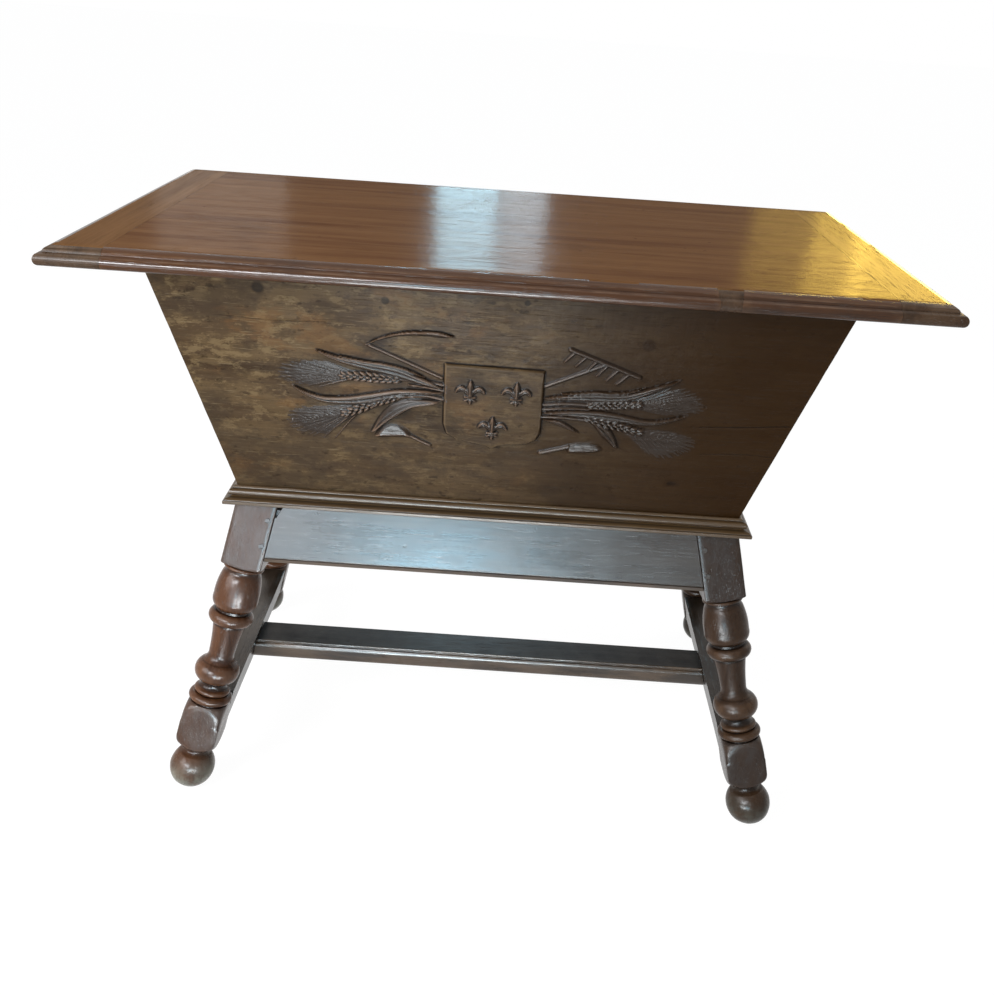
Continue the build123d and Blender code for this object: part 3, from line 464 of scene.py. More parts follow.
def iron():
    g = Graph("old_iron")
    fine = g.noise(g.place, 160.0, 5.0, 0.6)
    broad = g.noise(g.place, 24.0, 4.0, 0.6)
    shade = g.mix(fine, colour(38, 34, 31), colour(74, 66, 58))
    shade = g.mix(g.ramp(broad, 0.5, 0.75, 0.0, 0.7), shade, colour(92, 56, 34))
    g.fill(g.shader, {"Base Color": shade, "Metallic": 0.75,
                      "Roughness": g.ramp(broad, 0.3, 0.7, 0.45, 0.7), "Normal": g.bump(fine, 0.0003)})
    return g.material


# ---- mesh helpers
def put(name, mesh, body, nodes, material):
    piece = bpy.data.objects.new(name, mesh)
    bpy.context.collection.objects.link(piece)
    mesh.materials.append(material)
    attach(piece, body)
    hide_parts(*nodes)
    return piece


WHOLE = 0.3                   # a step past the board's size, which leaves that way uncut
ARRIS = radians(42)           # edges sharper than this are softened
LEVEL = 0.985                 # upward share of a normal that counts as level


def shade_by_angle(bm, limit=38.0):
    for face in bm.faces:
        face.smooth = True
    for edge in bm.edges:
        if len(edge.link_faces) == 2:
            edge.smooth = edge.calc_face_angle(0.0) < radians(limit)


def wear_layers(bm):
    """Marks hollow and outer edges on the vertices, for darker concave corners and rubbed places."""
    crease_dark = bm.verts.layers.float.new("crease_dark")
    rub = bm.verts.layers.float.new("rub")
    bm.normal_update()
    for vertex in bm.verts:
        bend = [e.calc_face_angle_signed(0.0) for e in vertex.link_edges if len(e.link_faces) == 2]
        if bend:
            vertex[crease_dark] = min(1.0, max(0.0, -min(bend)) * 1.3)
            vertex[rub] = min(1.0, max(0.0, max(bend)) * 1.2)


def everything(bm):
    return bm.verts[:] + bm.edges[:] + bm.faces[:]


def cross_cut(bm, low, high, step):
    """Cuts the board into cells of about the given steps, so that its surface can move."""
    for axis in range(3):
        count = int((high[axis] - low[axis]) / step[axis])
        for index in range(1, count):
            point, normal = Vector((0, 0, 0)), Vector((0, 0, 0))
            point[axis] = low[axis] + (high[axis] - low[axis]) * index / count
            normal[axis] = 1
            bmesh.ops.bisect_plane(bm, geom=everything(bm), plane_co=point, plane_no=normal, dist=0.00005)


def soft_noise(place):
    """Noise from about 0 to 1."""
    return 0.5 + 0.5 * noise.noise(place)


def plane_by_hand(bm, wobble, seed):
    """Sinks the surface unevenly, by at most wobble millimetres."""
    bm.normal_update()
    moves = []
    for vertex in bm.verts:
        p = vertex.co
        amount = soft_noise((p.x * 6 + seed, p.y * 14, p.z * 14))
        fine = soft_noise((p.x * 40, p.y * 40 + seed, p.z * 40))
        amount = 0.7 * amount + 0.3 * fine
        moves.append(vertex.normal * (-wobble * MM * amount))
    for vertex, move in zip(bm.verts, moves):
        vertex.co += move


def face_kinds(bm, has_under):
    """Material 0 on the upper face, 1 on the sides and, where it has its own wood, 2 underneath."""
    for face in bm.faces:
        face.material_index = 0 if face.normal.z > LEVEL else 1
        if has_under and face.normal.z < -LEVEL:
            face.material_index = 2


def board(node, body, material, edge, wobble, step, seed=0.0, side_material=None,
          under_material=None):
    """Worn copy of a CAD board: softened arrises and a hand-planed, slightly uneven surface."""
    bm = bmesh.new()
    bm.from_mesh(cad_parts[node].data)
    bmesh.ops.remove_doubles(bm, verts=bm.verts, dist=0.00002)
    bmesh.ops.dissolve_limit(bm, angle_limit=radians(0.4), verts=bm.verts, edges=bm.edges)
    cross_cut(bm, *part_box(node), step)
    plane_by_hand(bm, wobble, seed)
    sharp = [e for e in bm.edges if len(e.link_faces) == 2 and e.calc_face_angle(0.0) > ARRIS]
    bmesh.ops.bevel(bm, geom=sharp, offset=edge * MM, offset_type="OFFSET", segments=2, profile=0.5,
                    affect="EDGES", clamp_overlap=True)
    wear_layers(bm)
    shade_by_angle(bm)
    if side_material:
        face_kinds(bm, bool(under_material))
    mesh = bpy.data.meshes.new(node + "_wood")
    bm.to_mesh(mesh)
    bm.free()
    piece = put(node + "_wood", mesh, body, [node], material)
    even = piece.modifiers.new("even_shading", "WEIGHTED_NORMAL")
    even.weight = 90
    even.keep_sharp = True
    if side_material:
        indices = [polygon.material_index for polygon in mesh.polygons]
        for other in (side_material, under_material):
            if other:
                mesh.materials.append(other)
        mesh.polygons.foreach_set("material_index", indices)


# ---- turned legs
FOOT = Vector((0.455, -0.2432, 0.0352))       # centre of the front right ball, metres
LEG_TOP = Vector((0.3487, -0.1284, 0.484))    # the same leg's axis at the frame's top
HALF = 32.0                   # half of a square block, millimetres
BALL = 36.0                   # radius of the ball foot
NECK = 20.5                   # thinnest turned radius
LOW_BLOCK, LOW_BLOCK_END, TOP_BLOCK = 38.4, 118, 357.2      # heights up the axis
FOOT_WORN_TO = 30
AROUND = 96                   # points round the leg
ROW_STEP = 2.4
WIDE = 50                     # radii past this are cut off by the blocks' squares
SQUARENESS = 26.0             # exponent that makes a circle nearly a square
MEETING = 14.0                # how tightly the turned shoulder meets the square


def arc(start, mid, end, count):
    """Points on the circle through three (radius, height) points."""
    (ax, ay), (bx, by), (cx, cy) = start, mid, end
    d = 2 * (ax * (by - cy) + bx * (cy - ay) + cx * (ay - by))
    ux = ((ax**2 + ay**2) * (by - cy) + (bx**2 + by**2) * (cy - ay) + (cx**2 + cy**2) * (ay - by)) / d
    uy = ((ax**2 + ay**2) * (cx - bx) + (bx**2 + by**2) * (ax - cx) + (cx**2 + cy**2) * (bx - ax)) / d
    a0, a1, a2 = (np.arctan2(y - uy, x - ux) for x, y in (start, mid, end))
    turn = (a2 - a0) % (2 * pi)
    if (a1 - a0) % (2 * pi) > turn:
        turn -= 2 * pi
    r = sqrt((ax - ux) ** 2 + (ay - uy) ** 2)
    angles = [a0 + turn * i / count for i in range(1, count + 1)]
    return [(ux + r * cos(a), uy + r * sin(a)) for a in angles]


def leg_profile():
    """(radius, height up the axis) from the foot to past the frame's top; the blocks' squares limit it."""
    lip = radians(41)
    pts = [(0.5, -BALL)]

    def turn(mid, end, count):
        pts.extend(arc(pts[-1], mid, end, count))

    turn((BALL * sin(radians(50)), -BALL * cos(radians(50))), (BALL, 0), 16)
    turn((BALL * cos(lip / 2), BALL * sin(lip / 2)), (BALL * cos(lip), BALL * sin(lip)), 12)
    pts += [(BALL * cos(lip) - 1.3, BALL * sin(lip) + 0.7)]
    turn((NECK - 2.1, 31), (NECK + 0.4, 38.2), 10)
    pts += [(NECK + 9, 39.2), (HALF * 1.2, 47), (HALF * 1.6, 62), (HALF * 1.6, 84), (HALF * 1.42, 87)]
    turn((HALF * 1.22, 109), (HALF + 1, 117.4), 8)
    pts += [(HALF - 3.6, 118.4), (HALF - 3.6, 120)]
    turn((HALF + 2.4, 126.75), (HALF - 3.6, 133.4), 12)
    pts += [(HALF - 7, 134.0), (HALF - 7.1, 134.4)]
    turn((HALF - 3.6, 138.3), (HALF - 7.1, 142.6), 8)
    pts += arc((HALF - 8, 143.1), (NECK + 0.9, 146.2), (NECK + 0.9, 153.8), 6)
    turn((BALL - 0.8, 174), (NECK + 6.4, 189), 14)
    pts += [(NECK + 5.1, 189.9)]
    turn((NECK + 0.9, 196), (NECK - 0.1, 204), 8)
    turn((NECK + 1.6, 228.7), (NECK + 4.9, 253.3), 8)
    pts += [(NECK + 4.9, 256.4), (NECK + 8.6, 257.2)]
    turn((BALL - 0.7, 266.5), (NECK + 8.4, 277.2), 9)
    pts += [(NECK + 6.5, 277.8), (NECK + 6.4, 281.2)]
    turn((HALF + 1.9, 289), (HALF + 3.3, 300), 9)
    turn((HALF + 2.1, 324.5), (HALF - 1.6, 341), 9)
    turn((HALF - 3.6, 346), (HALF - 3.6, 350.4), 5)
    turn((HALF - 0.1, 353.5), (HALF - 3.1, 356), 6)
    pts += [(HALF - 3, 356.8), (HALF, 357.4), (HALF * 1.28, 359.2), (HALF * 1.6, 362), (HALF * 1.6, 560)]
    return np.array(pts)


def leg_rows():
    """The profile with its long steps divided."""
    profile = leg_profile()
    rows = []
    for (r0, z0), (r1, z1) in zip(profile[:-1], profile[1:]):
        reach = np.hypot(min(r1, WIDE) - min(r0, WIDE), z1 - z0)
        count = max(1, int(reach / ROW_STEP))
        for k in range(count):
            rows.append((r0 + (r1 - r0) * k / count, z0 + (z1 - z0) * k / count))
    return np.array(rows + [tuple(profile[-1])])


def leg_radius(turned, height, angle):
    """Radius at each row and angle: turned, or a rounded square in the two blocks."""
    p = SQUARENESS
    square = HALF * (np.abs(np.cos(angle)) ** p + np.abs(np.sin(angle)) ** p) ** (-1 / p)
    in_block = ((height > LOW_BLOCK) & (height < LOW_BLOCK_END)) | (height > TOP_BLOCK)
    limit = np.where(in_block[:, None], square[None, :], 1e3)
    radius = (turned[:, None] ** -MEETING + limit ** -MEETING) ** (-1 / MEETING)
    return np.where(in_block[:, None], radius, turned[:, None]), in_block


def leg_marks(radius):
    """Hollow and proud places: where the surface lies under or over its own smoothed copy."""
    smooth = radius.copy()
    for _ in range(6):
        smooth[1:-1] = (smooth[1:-1] * 2 + smooth[:-2] + smooth[2:]) / 4
    return np.clip((smooth - radius) / 1.2, 0, 1), np.clip((radius - smooth) / 0.8, 0, 1)


def leg_wear(a, z, seed):
    """Wood worn off, in millimetres; most on the foot."""
    q = Vector((cos(a) * 1.4, sin(a) * 1.4, z * 0.02 + seed))
    worn = 0.35 * soft_noise(q) + 0.25 * soft_noise(q * 5)
    if z < FOOT_WORN_TO:
        worn += 0.9 * soft_noise((cos(a) * 2, sin(a) * 2, z * 0.06 + seed))
    return worn


def leg_skin(radius, height, angle, side, back, seed):
    """Points of the leaning leg and the faces between them."""
    axis = (LEG_TOP - FOOT).normalized()
    across = (Vector((1, 0, 0)) - axis * axis.x).normalized()
    third = axis.cross(across)
    verts = []
    for i, z in enumerate(height):
        for j, a in enumerate(angle):
            r = max(0.2, radius[i, j] - leg_wear(a, z, seed))
            spot = FOOT + axis * (z * MM) + across * (cos(a) * r * MM) + third * (sin(a) * r * MM)
            verts.append((spot.x * side, spot.y * (-1 if back else 1), spot.z))
    faces = []
    for i in range(len(height) - 1):
        for j in range(AROUND):
            n = (j + 1) % AROUND
            above = (i + 1) * AROUND
            faces.append((i * AROUND + j, i * AROUND + n, above + n, above + j))
    faces.append(tuple(range(AROUND)))
    faces.append(tuple((len(height) - 1) * AROUND + j for j in range(AROUND)))
    return verts, faces


def cut_level(bm, z, normal):
    """Cuts off what lies past a height and closes the hole."""
    bmesh.ops.bisect_plane(bm, geom=everything(bm), plane_co=(0, 0, z), plane_no=normal, clear_outer=True)
    rim = [e for e in bm.edges if e.is_boundary]
    if rim:
        bmesh.ops.holes_fill(bm, edges=rim, sides=0)


def close_skin(mesh, limit, cuts=()):
    """Cuts at (height, way) pairs, turns the faces outward and marks edges that bend past the limit."""
    bm = bmesh.new()
    bm.from_mesh(mesh)
    for z, normal in cuts:
        cut_level(bm, z, normal)
    bmesh.ops.recalc_face_normals(bm, faces=bm.faces)
    shade_by_angle(bm, limit)
    bm.to_mesh(mesh)
    bm.free()


def add_layer(mesh, label, values):
    """One number on each vertex, for the materials to read."""
    layer = mesh.attributes.new(label, "FLOAT", "POINT")
    layer.data.foreach_set("value", values.reshape(-1).astype(np.float32))


def make_leg(name, side, back, material, seed):
    """Turned leg with its two square blocks, in one closed skin."""
    rows = leg_rows()
    turned, height = rows[:, 0], rows[:, 1]
    angle = np.arange(AROUND) * 2 * pi / AROUND
    radius, in_block = leg_radius(turned, height, angle)
    hollow, proud = leg_marks(radius)
    mesh = bpy.data.meshes.new(name + "_turned")
    verts, faces = leg_skin(radius, height, angle, side, back, seed)
    mesh.from_pydata(verts, [], faces)
    block = np.repeat(in_block[:, None].astype(float), AROUND, axis=1)
    for label, field in (("crease_dark", hollow), ("rub", proud), ("block", block)):
        add_layer(mesh, label, field)
    close_skin(mesh, 50, ((LEG_TOP.z, (0, 0, 1)), (0.0, (0, 0, -1))))
    put(name + "_turned", mesh, STAND, [name], material)


# ---- carved front
SPLAY = radians(12.9)
RIM_HALF_X, RIM_HALF_Y, RIM_Z = 461.8, 234.5, 866.7
BASE_Z = 506.0                # foot of the wall; all in millimetres
SLOPE = tan(SPLAY)
WALL_RUN = 22.0 / cos(SPLAY)  # the 22 mm wall measured level
WALL_UP = (RIM_Z - BASE_Z) / cos(SPLAY)


def smooth_line(points, count=40):
    """Catmull-Rom curve through the points."""
    p = np.array(points, float)
    if len(p) == 2:
        t = np.linspace(0, 1, count)[:, None]
        return p[0] * (1 - t) + p[1] * t
    p = np.vstack([2 * p[0] - p[1], p, 2 * p[-1] - p[-2]])
    out = []
    for i in range(1, len(p) - 2):
        t = np.linspace(0, 1, count // (len(p) - 3) + 2)[:, None]
        a, b, c, d = p[i - 1], p[i], p[i + 1], p[i + 2]
        curve = 2 * b + (c - a) * t + (2 * a - 5 * b + 4 * c - d) * t ** 2
        out.append(0.5 * (curve + (3 * b - 3 * c + d - a) * t ** 3))
    return np.vstack(out)


class Relief:
    """Height field on the wall; x along it and h up the slope, all in millimetres."""

    def __init__(self, x, h):
        self.x, self.h = x, h
        self.z = np.zeros_like(x)
        self.dark = np.zeros_like(x)

    def near(self, line, reach):
        low, high = line.min(0) - reach, line.max(0) + reach
        return (self.x > low[0]) & (self.x < high[0]) & (self.h > low[1]) & (self.h < high[1])

    def along(self, line, mask):
        """Distance, side and share of the length at the nearest point of the line."""
        px, ph = self.x[mask], self.h[mask]
        best = np.full(px.shape, 1e9)
        side = np.zeros(px.shape)
        part = np.zeros(px.shape)
        lengths = np.hypot(*(line[1:] - line[:-1]).T)
        total = lengths.sum() + 1e-9
        start = 0.0
        for (a, b), length in zip(zip(line[:-1], line[1:]), lengths):
            d = b - a
            n = max(length, 1e-6)
            t = np.clip(((px - a[0]) * d[0] + (ph - a[1]) * d[1]) / n ** 2, 0, 1)
            dx, dh = px - a[0] - t * d[0], ph - a[1] - t * d[1]
            dist = np.hypot(dx, dh)
            closer = dist < best
            best = np.where(closer, dist, best)
            side = np.where(closer, np.sign(d[0] * dh - d[1] * dx), side)
            part = np.where(closer, (start + t * length) / total, part)
            start += length
        return best, side, part

    def raise_to(self, mask, value, dark=1.0):
        self.z[mask] = np.maximum(self.z[mask], value)
        self.dark[mask] = np.where(value > 0.3, np.maximum(self.dark[mask], dark), self.dark[mask])

    def cord(self, points, width, height, taper=0.0, fade=0.0):
        """Round rod or stalk, thinner and lower towards its end."""
        line = smooth_line(points)
        mask = self.near(line, width + 2)
        d, _, t = self.along(line, mask)
        w = width * (1 - taper * t)
        self.raise_to(mask, height * (1 - fade * t ** 3) * np.sqrt(np.clip(1 - (d / w) ** 2, 0, 1)))

    def leaf(self, points, width, height, vein=0.45, tilt=0.25, fat=0.45):
        """Blade pointed at both ends, with a sunk vein and one side lifted."""
        line = smooth_line(points)
        mask = self.near(line, width + 2)
        d, side, t = self.along(line, mask)
        shape = np.clip((t / fat) ** 0.7, 0, 1) * np.clip(((1 - t) / (1 - fat)), 0, 1) ** 0.75
        w = np.maximum(width * shape, 0.6)
        q = d / w
        body = np.clip(1 - q ** 4, 0, 1) ** 0.5
        body *= 1 - vein * np.exp(-(q / 0.16) ** 2) + tilt * side * q
        self.raise_to(mask, height * body * np.clip(shape * 4, 0, 1) ** 0.5 * (q < 1))

    def grain(self, x, h, angle, length, width, height):
        ca, sa = cos(angle), sin(angle)
        u = (self.x - x) * ca + (self.h - h) * sa
        v = -(self.x - x) * sa + (self.h - h) * ca
        mask = (np.abs(u) < length) & (np.abs(v) < length)
        u, v = u[mask], v[mask]
        w = width * (1 - 0.35 * u / length)
        q = (u / length) ** 2 + (v / w) ** 2
        self.raise_to(mask, height * np.sqrt(np.clip(1 - q, 0, 1)))

    def ear(self, start, end, grains=8, spread=4.6, size=(7.0, 3.1), height=5.0):
        """Ear of corn from its stalk to its tip: two rows of grains and a middle row."""
        a, b = np.array(start, float), np.array(end, float)
        d = b - a
        length = np.hypot(*d)
        unit = d / length
        normal = np.array((-unit[1], unit[0]))
        lean = np.arctan2(unit[1], unit[0])
        for i in range(grains):
            t = (i + 0.5) / grains
            wide = spread * (0.75 + 0.45 * sin(pi * min(1, t * 1.15)))
            for s in (-1, 1):
                spot = a + d * t + normal * s * wide
                self.grain(spot[0], spot[1], lean + s * 0.42, size[0], size[1], height)
            spot = a + d * (t + 0.35 / grains)
            self.grain(spot[0], spot[1], lean, size[0] * 0.8, size[1] * 0.85, height * 1.1)

    def polygon(self, points, height, edge=1.5, dark=1.0, lean=0.0):
        """Raised form with sloped sides; lean lifts its lower part."""
        pts = np.array(points, float)
        line = np.vstack([pts, pts[:1]])
        mask = self.near(line, edge + 1)
        px, ph = self.x[mask], self.h[mask]
        inside = np.zeros(px.shape, bool)
        for (ax, ah), (bx, bh) in zip(line[:-1], line[1:]):
            cross = ((ah > ph) != (bh > ph)) & (px < (bx - ax) * (ph - ah) / (bh - ah + 1e-12) + ax)
            inside ^= cross
        d, _, _ = self.along(line, mask)
        signed = np.where(inside, d, -d)
        level = height + lean * (pts[:, 1].mean() - ph)
        self.raise_to(mask, level * np.clip(0.5 + signed / edge, 0, 1), dark)

    def cut(self, points, width, depth, taper=0.5):
        """Narrow groove or crack."""
        line = smooth_line(points)
        mask = self.near(line, width + 1)
        d, _, t = self.along(line, mask)
        w = width * (1 - taper * np.abs(2 * t - 1))
        self.z[mask] -= depth * np.exp(-(d / w) ** 2)


def lily(relief, x, h, size, base):
    """Traditional three-petalled flower of the shield."""
    def at(*places):
        return [(x + u * size, h + v * size) for u, v in places]

    up = base + 3.6
    relief.leaf(at((0, -0.20), (0, 0.12), (0, 0.50)), 0.165 * size, up, vein=-0.25, tilt=0, fat=0.42)
    for m in (-1, 1):
        petal = at((m * 0.03, -0.20), (m * 0.14, 0.03), (m * 0.29, 0.13), (m * 0.42, 0.06), (m * 0.50, -0.08))
        relief.leaf(petal, 0.125 * size, up - 0.6, vein=0.2, tilt=0.2 * m, fat=0.6)
        foot = at((m * 0.03, -0.22), (m * 0.12, -0.33), (m * 0.22, -0.37))
        relief.leaf(foot, 0.07 * size, up - 1.4, vein=0, tilt=0, fat=0.4)
    relief.leaf(at((0, -0.2), (0, -0.36), (0, -0.52)), 0.095 * size, up - 0.8, vein=0, tilt=0, fat=0.35)
    relief.cord(at((-0.17, -0.20), (0.17, -0.20)), 0.05 * size, up)


BRISTLES = 30


def bristles(relief, start, end, root, tips):
    """Brush of fine bristles from an ear's outer half to a curve of tips."""
    a, b = np.array(start, float), np.array(end, float)
    curve = smooth_line(tips, 60)
    middle = a + (b - a) * 0.75
    inner = [tuple(middle + (point - middle) * 0.86) for point in curve[::6]]
    relief.polygon([tuple(a + (b - a) * 0.55)] + inner, 0.9, 7.0, dark=0.9)
    for k in range(BRISTLES):
        t = k / (BRISTLES - 1)
        tip = curve[int(t * (len(curve) - 1))] + np.array((3.5 * sin(k * 2.4), 1.2 * sin(k * 4.1)))
        low = root + (1 - root) * (0.3 + 0.7 * sin(pi * t))
        foot = a + (b - a) * low
        middle = foot * 0.55 + tip * 0.45 + (b - a) * 0.05
        relief.cord([tuple(foot), tuple(middle), tuple(tip)], 1.05, 1.9, 0.35, 0.8)


def carve_shield(r):
    """Shield with a low point, and its three lilies."""
    outline = [(-69.9, 246.9), (65, 245), (66.7, 163.4), (66, 140), (61, 128), (47.2, 119.5), (20, 116.5),
               (8, 113), (-0.7, 107.5), (-10, 112.5), (-29, 116.5), (-52, 121), (-65.9, 130), (-70.3, 146)]
    r.polygon(outline, 5.0, 2.2, dark=0.0)
    for x, h in ((-34.2, 206.0), (29.6, 207.0), (-1.4, 146.6)):
        lily(r, x, h, 41.0, 5.0)


def carve_left(r):
    """Scythe, leaves, stalks, two ears and a sickle, from the shield to the left."""
    r.leaf([(-178, 268), (-158, 280), (-127, 290), (-92, 292.5), (-58, 290)], 4.0, 3.6, 0.0, 0.5, 0.85)
    r.cord([(-172, 268), (-126, 247), (-74, 223)], 2.3, 2.2)
    upper = [(-247, 256), (-215, 244), (-180, 236), (-140, 229), (-104, 217), (-70, 205)]
    lower = [(-283, 195), (-256, 180), (-229, 174), (-185, 178), (-130, 194), (-70, 199)]
    r.leaf(upper, 9.5, 5.0, 0.3, fat=0.62)
    r.leaf([(-216, 249), (-180, 241), (-130, 234), (-96, 222)], 4.0, 4.2, 0.1, fat=0.5)
    r.leaf(lower, 9.0, 4.8, 0.35, fat=0.5)
    r.leaf([(-218, 171), (-180, 175), (-140, 186), (-90, 192)], 4.0, 4.4, 0.1, fat=0.5)
    r.leaf([(-76, 183), (-96, 181), (-122, 175), (-150, 154), (-174, 121)], 9.5, 4.8, 0.15, 0.5, 0.55)
    r.cord([(-69, 211), (-100, 216), (-139, 216.5)], 2.6, 3.2)
    r.cord([(-69, 187), (-100, 192), (-139, 189.5)], 2.6, 3.2)
    r.cord([(-69, 202), (-96, 206), (-120, 208)], 2.2, 3.0, 0.5)
    ear = {"size": (6.4, 2.9), "height": 4.8}
    r.ear((-132, 216), (-213, 217.5), 9, 4.4, **ear)
    tips = [(-236, 238), (-266, 236), (-290, 228), (-296, 216), (-296, 206), (-279, 198), (-246, 195)]
    bristles(r, (-137, 216.5), (-212, 217.5), 0.4, tips)
    r.ear((-131, 192), (-172, 172), 5, 4.2, **ear)
    r.ear((-168, 174), (-213.4, 150.5), 5, 4.2, **ear)
    tips = [(-243, 161), (-270, 156), (-288, 149), (-292, 134), (-286, 119), (-266, 108), (-229, 105)]
    bristles(r, (-137, 189), (-213.4, 150.5), 0.4, tips)
    sickle = [(-167, 115.5), (-163, 124), (-155, 133), (-146, 138), (-136, 137.5), (-126, 130), (-115, 117),
              (-128, 119), (-148, 117.5)]
    r.polygon(sickle, 3.4, 4.5, dark=0.4, lean=0.2)
    r.cord([(-117, 119), (-106, 113), (-90, 105)], 2.6, 3.0, 0.3)


def carve_rake(r):
    """Rake: head, six tines and handle."""
    r.cord([(97.4, 282.5), (146, 264), (194.7, 245)], 2.8, 3.4)
    for tine in (((103.6, 279), (91, 263)), ((119, 273), (107, 257)), ((134, 267), (122, 250)),
                 ((149, 261), (136, 243)), ((164, 255), (150, 237)), ((180, 250), (164, 231))):
        r.cord(tine, 2.0, 3.0, 0.35)
    r.cord([(146, 262), (110, 243), (68, 221)], 2.4, 3.0)


def carve_right(r):
    """Leaves, stalks, two ears and a spade, from the shield to the right."""
    upper = [(67, 201), (90, 204), (127, 207), (180, 211), (222, 230), (252, 246)]
    r.leaf(upper, 8.5, 4.8, 0.3, fat=0.42)
    r.leaf([(90, 210), (130, 214), (176, 218), (206, 229)], 3.5, 3.8, 0.1, fat=0.4)
    r.leaf([(67, 176), (120, 178), (170, 175.5), (221, 171), (270, 186)], 8.0, 4.4, 0.3, fat=0.4)
    r.cord([(68, 190), (100, 194), (139, 194)], 2.6, 3.2)
    r.cord([(68, 182), (100, 186), (134, 187)], 2.2, 3.0, 0.5)
    r.cord([(68, 169), (100, 170), (136, 168)], 2.6, 3.2)
    ear = {"size": (6.2, 2.8), "height": 4.6}
    r.ear((130, 193.5), (204, 201), 9, 4.2, **ear)
    tips = [(236, 186), (264, 187), (285, 194), (287, 203), (280, 217), (262, 230), (236, 229)]
    bristles(r, (137, 194), (202, 201), 0.45, tips)
    r.ear((128, 172), (212, 152.5), 9, 4.2, **ear)
    tips = [(222, 117), (244, 108), (262, 112), (280, 123), (287, 132), (284, 146), (258, 156)]
    bristles(r, (134, 170), (212, 152.5), 0.45, tips)
    r.leaf([(140, 166), (156, 152), (168, 138), (179, 121)], 8.0, 4.2)
    r.leaf([(68, 165), (92, 160), (122, 145)], 4.0, 3.4, 0.1)
    r.cord([(70, 104.5), (92, 112), (110, 119)], 2.8, 3.4)
    spade = [(107, 120), (120, 125), (140, 127), (151, 124), (157, 117.5), (148, 113), (130, 111),
             (111, 109.5)]
    r.polygon(spade, 3.0, 3.5, dark=0.5, lean=0.22)


FINE_X, FINE_UP = 1.25, 1.15  # grid of the carved part, millimetres
CARVED_HALF = 306.0           # half length of the carved part, and its heights up the wall
CARVED_LOW, CARVED_HIGH = 92, 304
CRACK_SPREAD = 1.6            # factor on the widths of the cracks


def panel_grid():
    """Places on the wall: fine where it is carved, coarse towards its edges."""
    inner = np.arange(-CARVED_HALF, CARVED_HALF + FINE_X / 2, FINE_X)
    up = np.concatenate([np.linspace(0, CARVED_LOW, 10)[:-1], np.arange(CARVED_LOW, CARVED_HIGH, FINE_UP),
                         np.linspace(CARVED_HIGH, WALL_UP, 8)])
    rows = []
    for s in up:
        half = RIM_HALF_X - (WALL_UP - s) * cos(SPLAY) * SLOPE
        out = np.linspace(CARVED_HALF, half, 12)[1:]
        rows.append(np.concatenate([-out[::-1], inner, out]))
    x = np.array(rows)
    return x, np.repeat(up[:, None], x.shape[1], axis=1)


def carve_panel(x, h):
    """Relief of the shield, both sheaves and the cracks."""
    relief = Relief(x, h)
    for carve in (carve_shield, carve_left, carve_rake, carve_right):
        carve(relief)
    for points, width, depth in ((((290, 168), (350, 172), (415, 179)), 0.9, 1.4),
                                 (((300, 120), (360, 124), (400, 123)), 0.8, 1.0),
                                 (((250, 60), (330, 66), (395, 70)), 0.8, 1.0),
                                 (((-380, 300), (-300, 296), (-230, 299)), 0.7, 0.8)):
        relief.cut(points, width * CRACK_SPREAD, depth)
    return relief


def uneven_ground(x, h):
    """Punched and hand-cut unevenness of the wall, in millimetres."""
    ground = np.zeros_like(x)
    for place in np.ndindex(x.shape):
        px, ph = x[place], h[place]
        ground[place] = (0.5 * noise.noise((px * 0.011, ph * 0.035, 2.0))
                         + 0.16 * noise.noise((px * 0.09, ph * 0.16, 5.0))
                         + 0.10 * noise.noise((px * 0.35, ph * 0.35, 8.0)))
    return ground


def blurred(field, passes, own):
    """Field averaged with its four neighbours some times; own is the weight of a place itself."""
    field = field.copy()
    for _ in range(passes):
        field[1:-1, 1:-1] = (field[1:-1, 1:-1] * own + field[:-2, 1:-1] + field[2:, 1:-1]
                             + field[1:-1, :-2] + field[1:-1, 2:]) / (4 + own)
    return field


def panel_skin(x, h, z):
    """Points of the front and of the plain back of the wall, and the faces between them."""
    wall_y = -(RIM_HALF_Y - (WALL_UP - h) * sin(SPLAY))
    wall_z = BASE_Z + h * cos(SPLAY)
    # the rim stays level and the foot stays on the floor boards
    level = np.clip(wall_z - z * sin(SPLAY), BASE_Z, RIM_Z)
    front = np.stack([x, wall_y - z * cos(SPLAY), level], -1).reshape(-1, 3)
    back = np.stack([x, wall_y + WALL_RUN, wall_z], -1)
    nrow, ncol = x.shape
    verts = [tuple(v * MM) for v in front]
    faces = []
    for i in range(nrow - 1):
        for k in range(i * ncol, (i + 1) * ncol - 1):
            faces.append((k, k + 1, k + 1 + ncol, k + ncol))
    last = (nrow - 1) * ncol
    edge = (list(range(ncol)) + [i * ncol + ncol - 1 for i in range(1, nrow)]
            + [last + j for j in range(ncol - 2, -1, -1)] + [i * ncol for i in range(nrow - 2, 0, -1)])
    first = len(verts)
    verts += [tuple(back[divmod(k, ncol)] * MM) for k in edge]
    ring = list(range(first, len(verts)))
    for m, k in enumerate(edge):
        q = (m + 1) % len(edge)
        faces.append((k, ring[m], ring[q], edge[q]))
    faces.append(tuple(ring[::-1]))
    return verts, faces


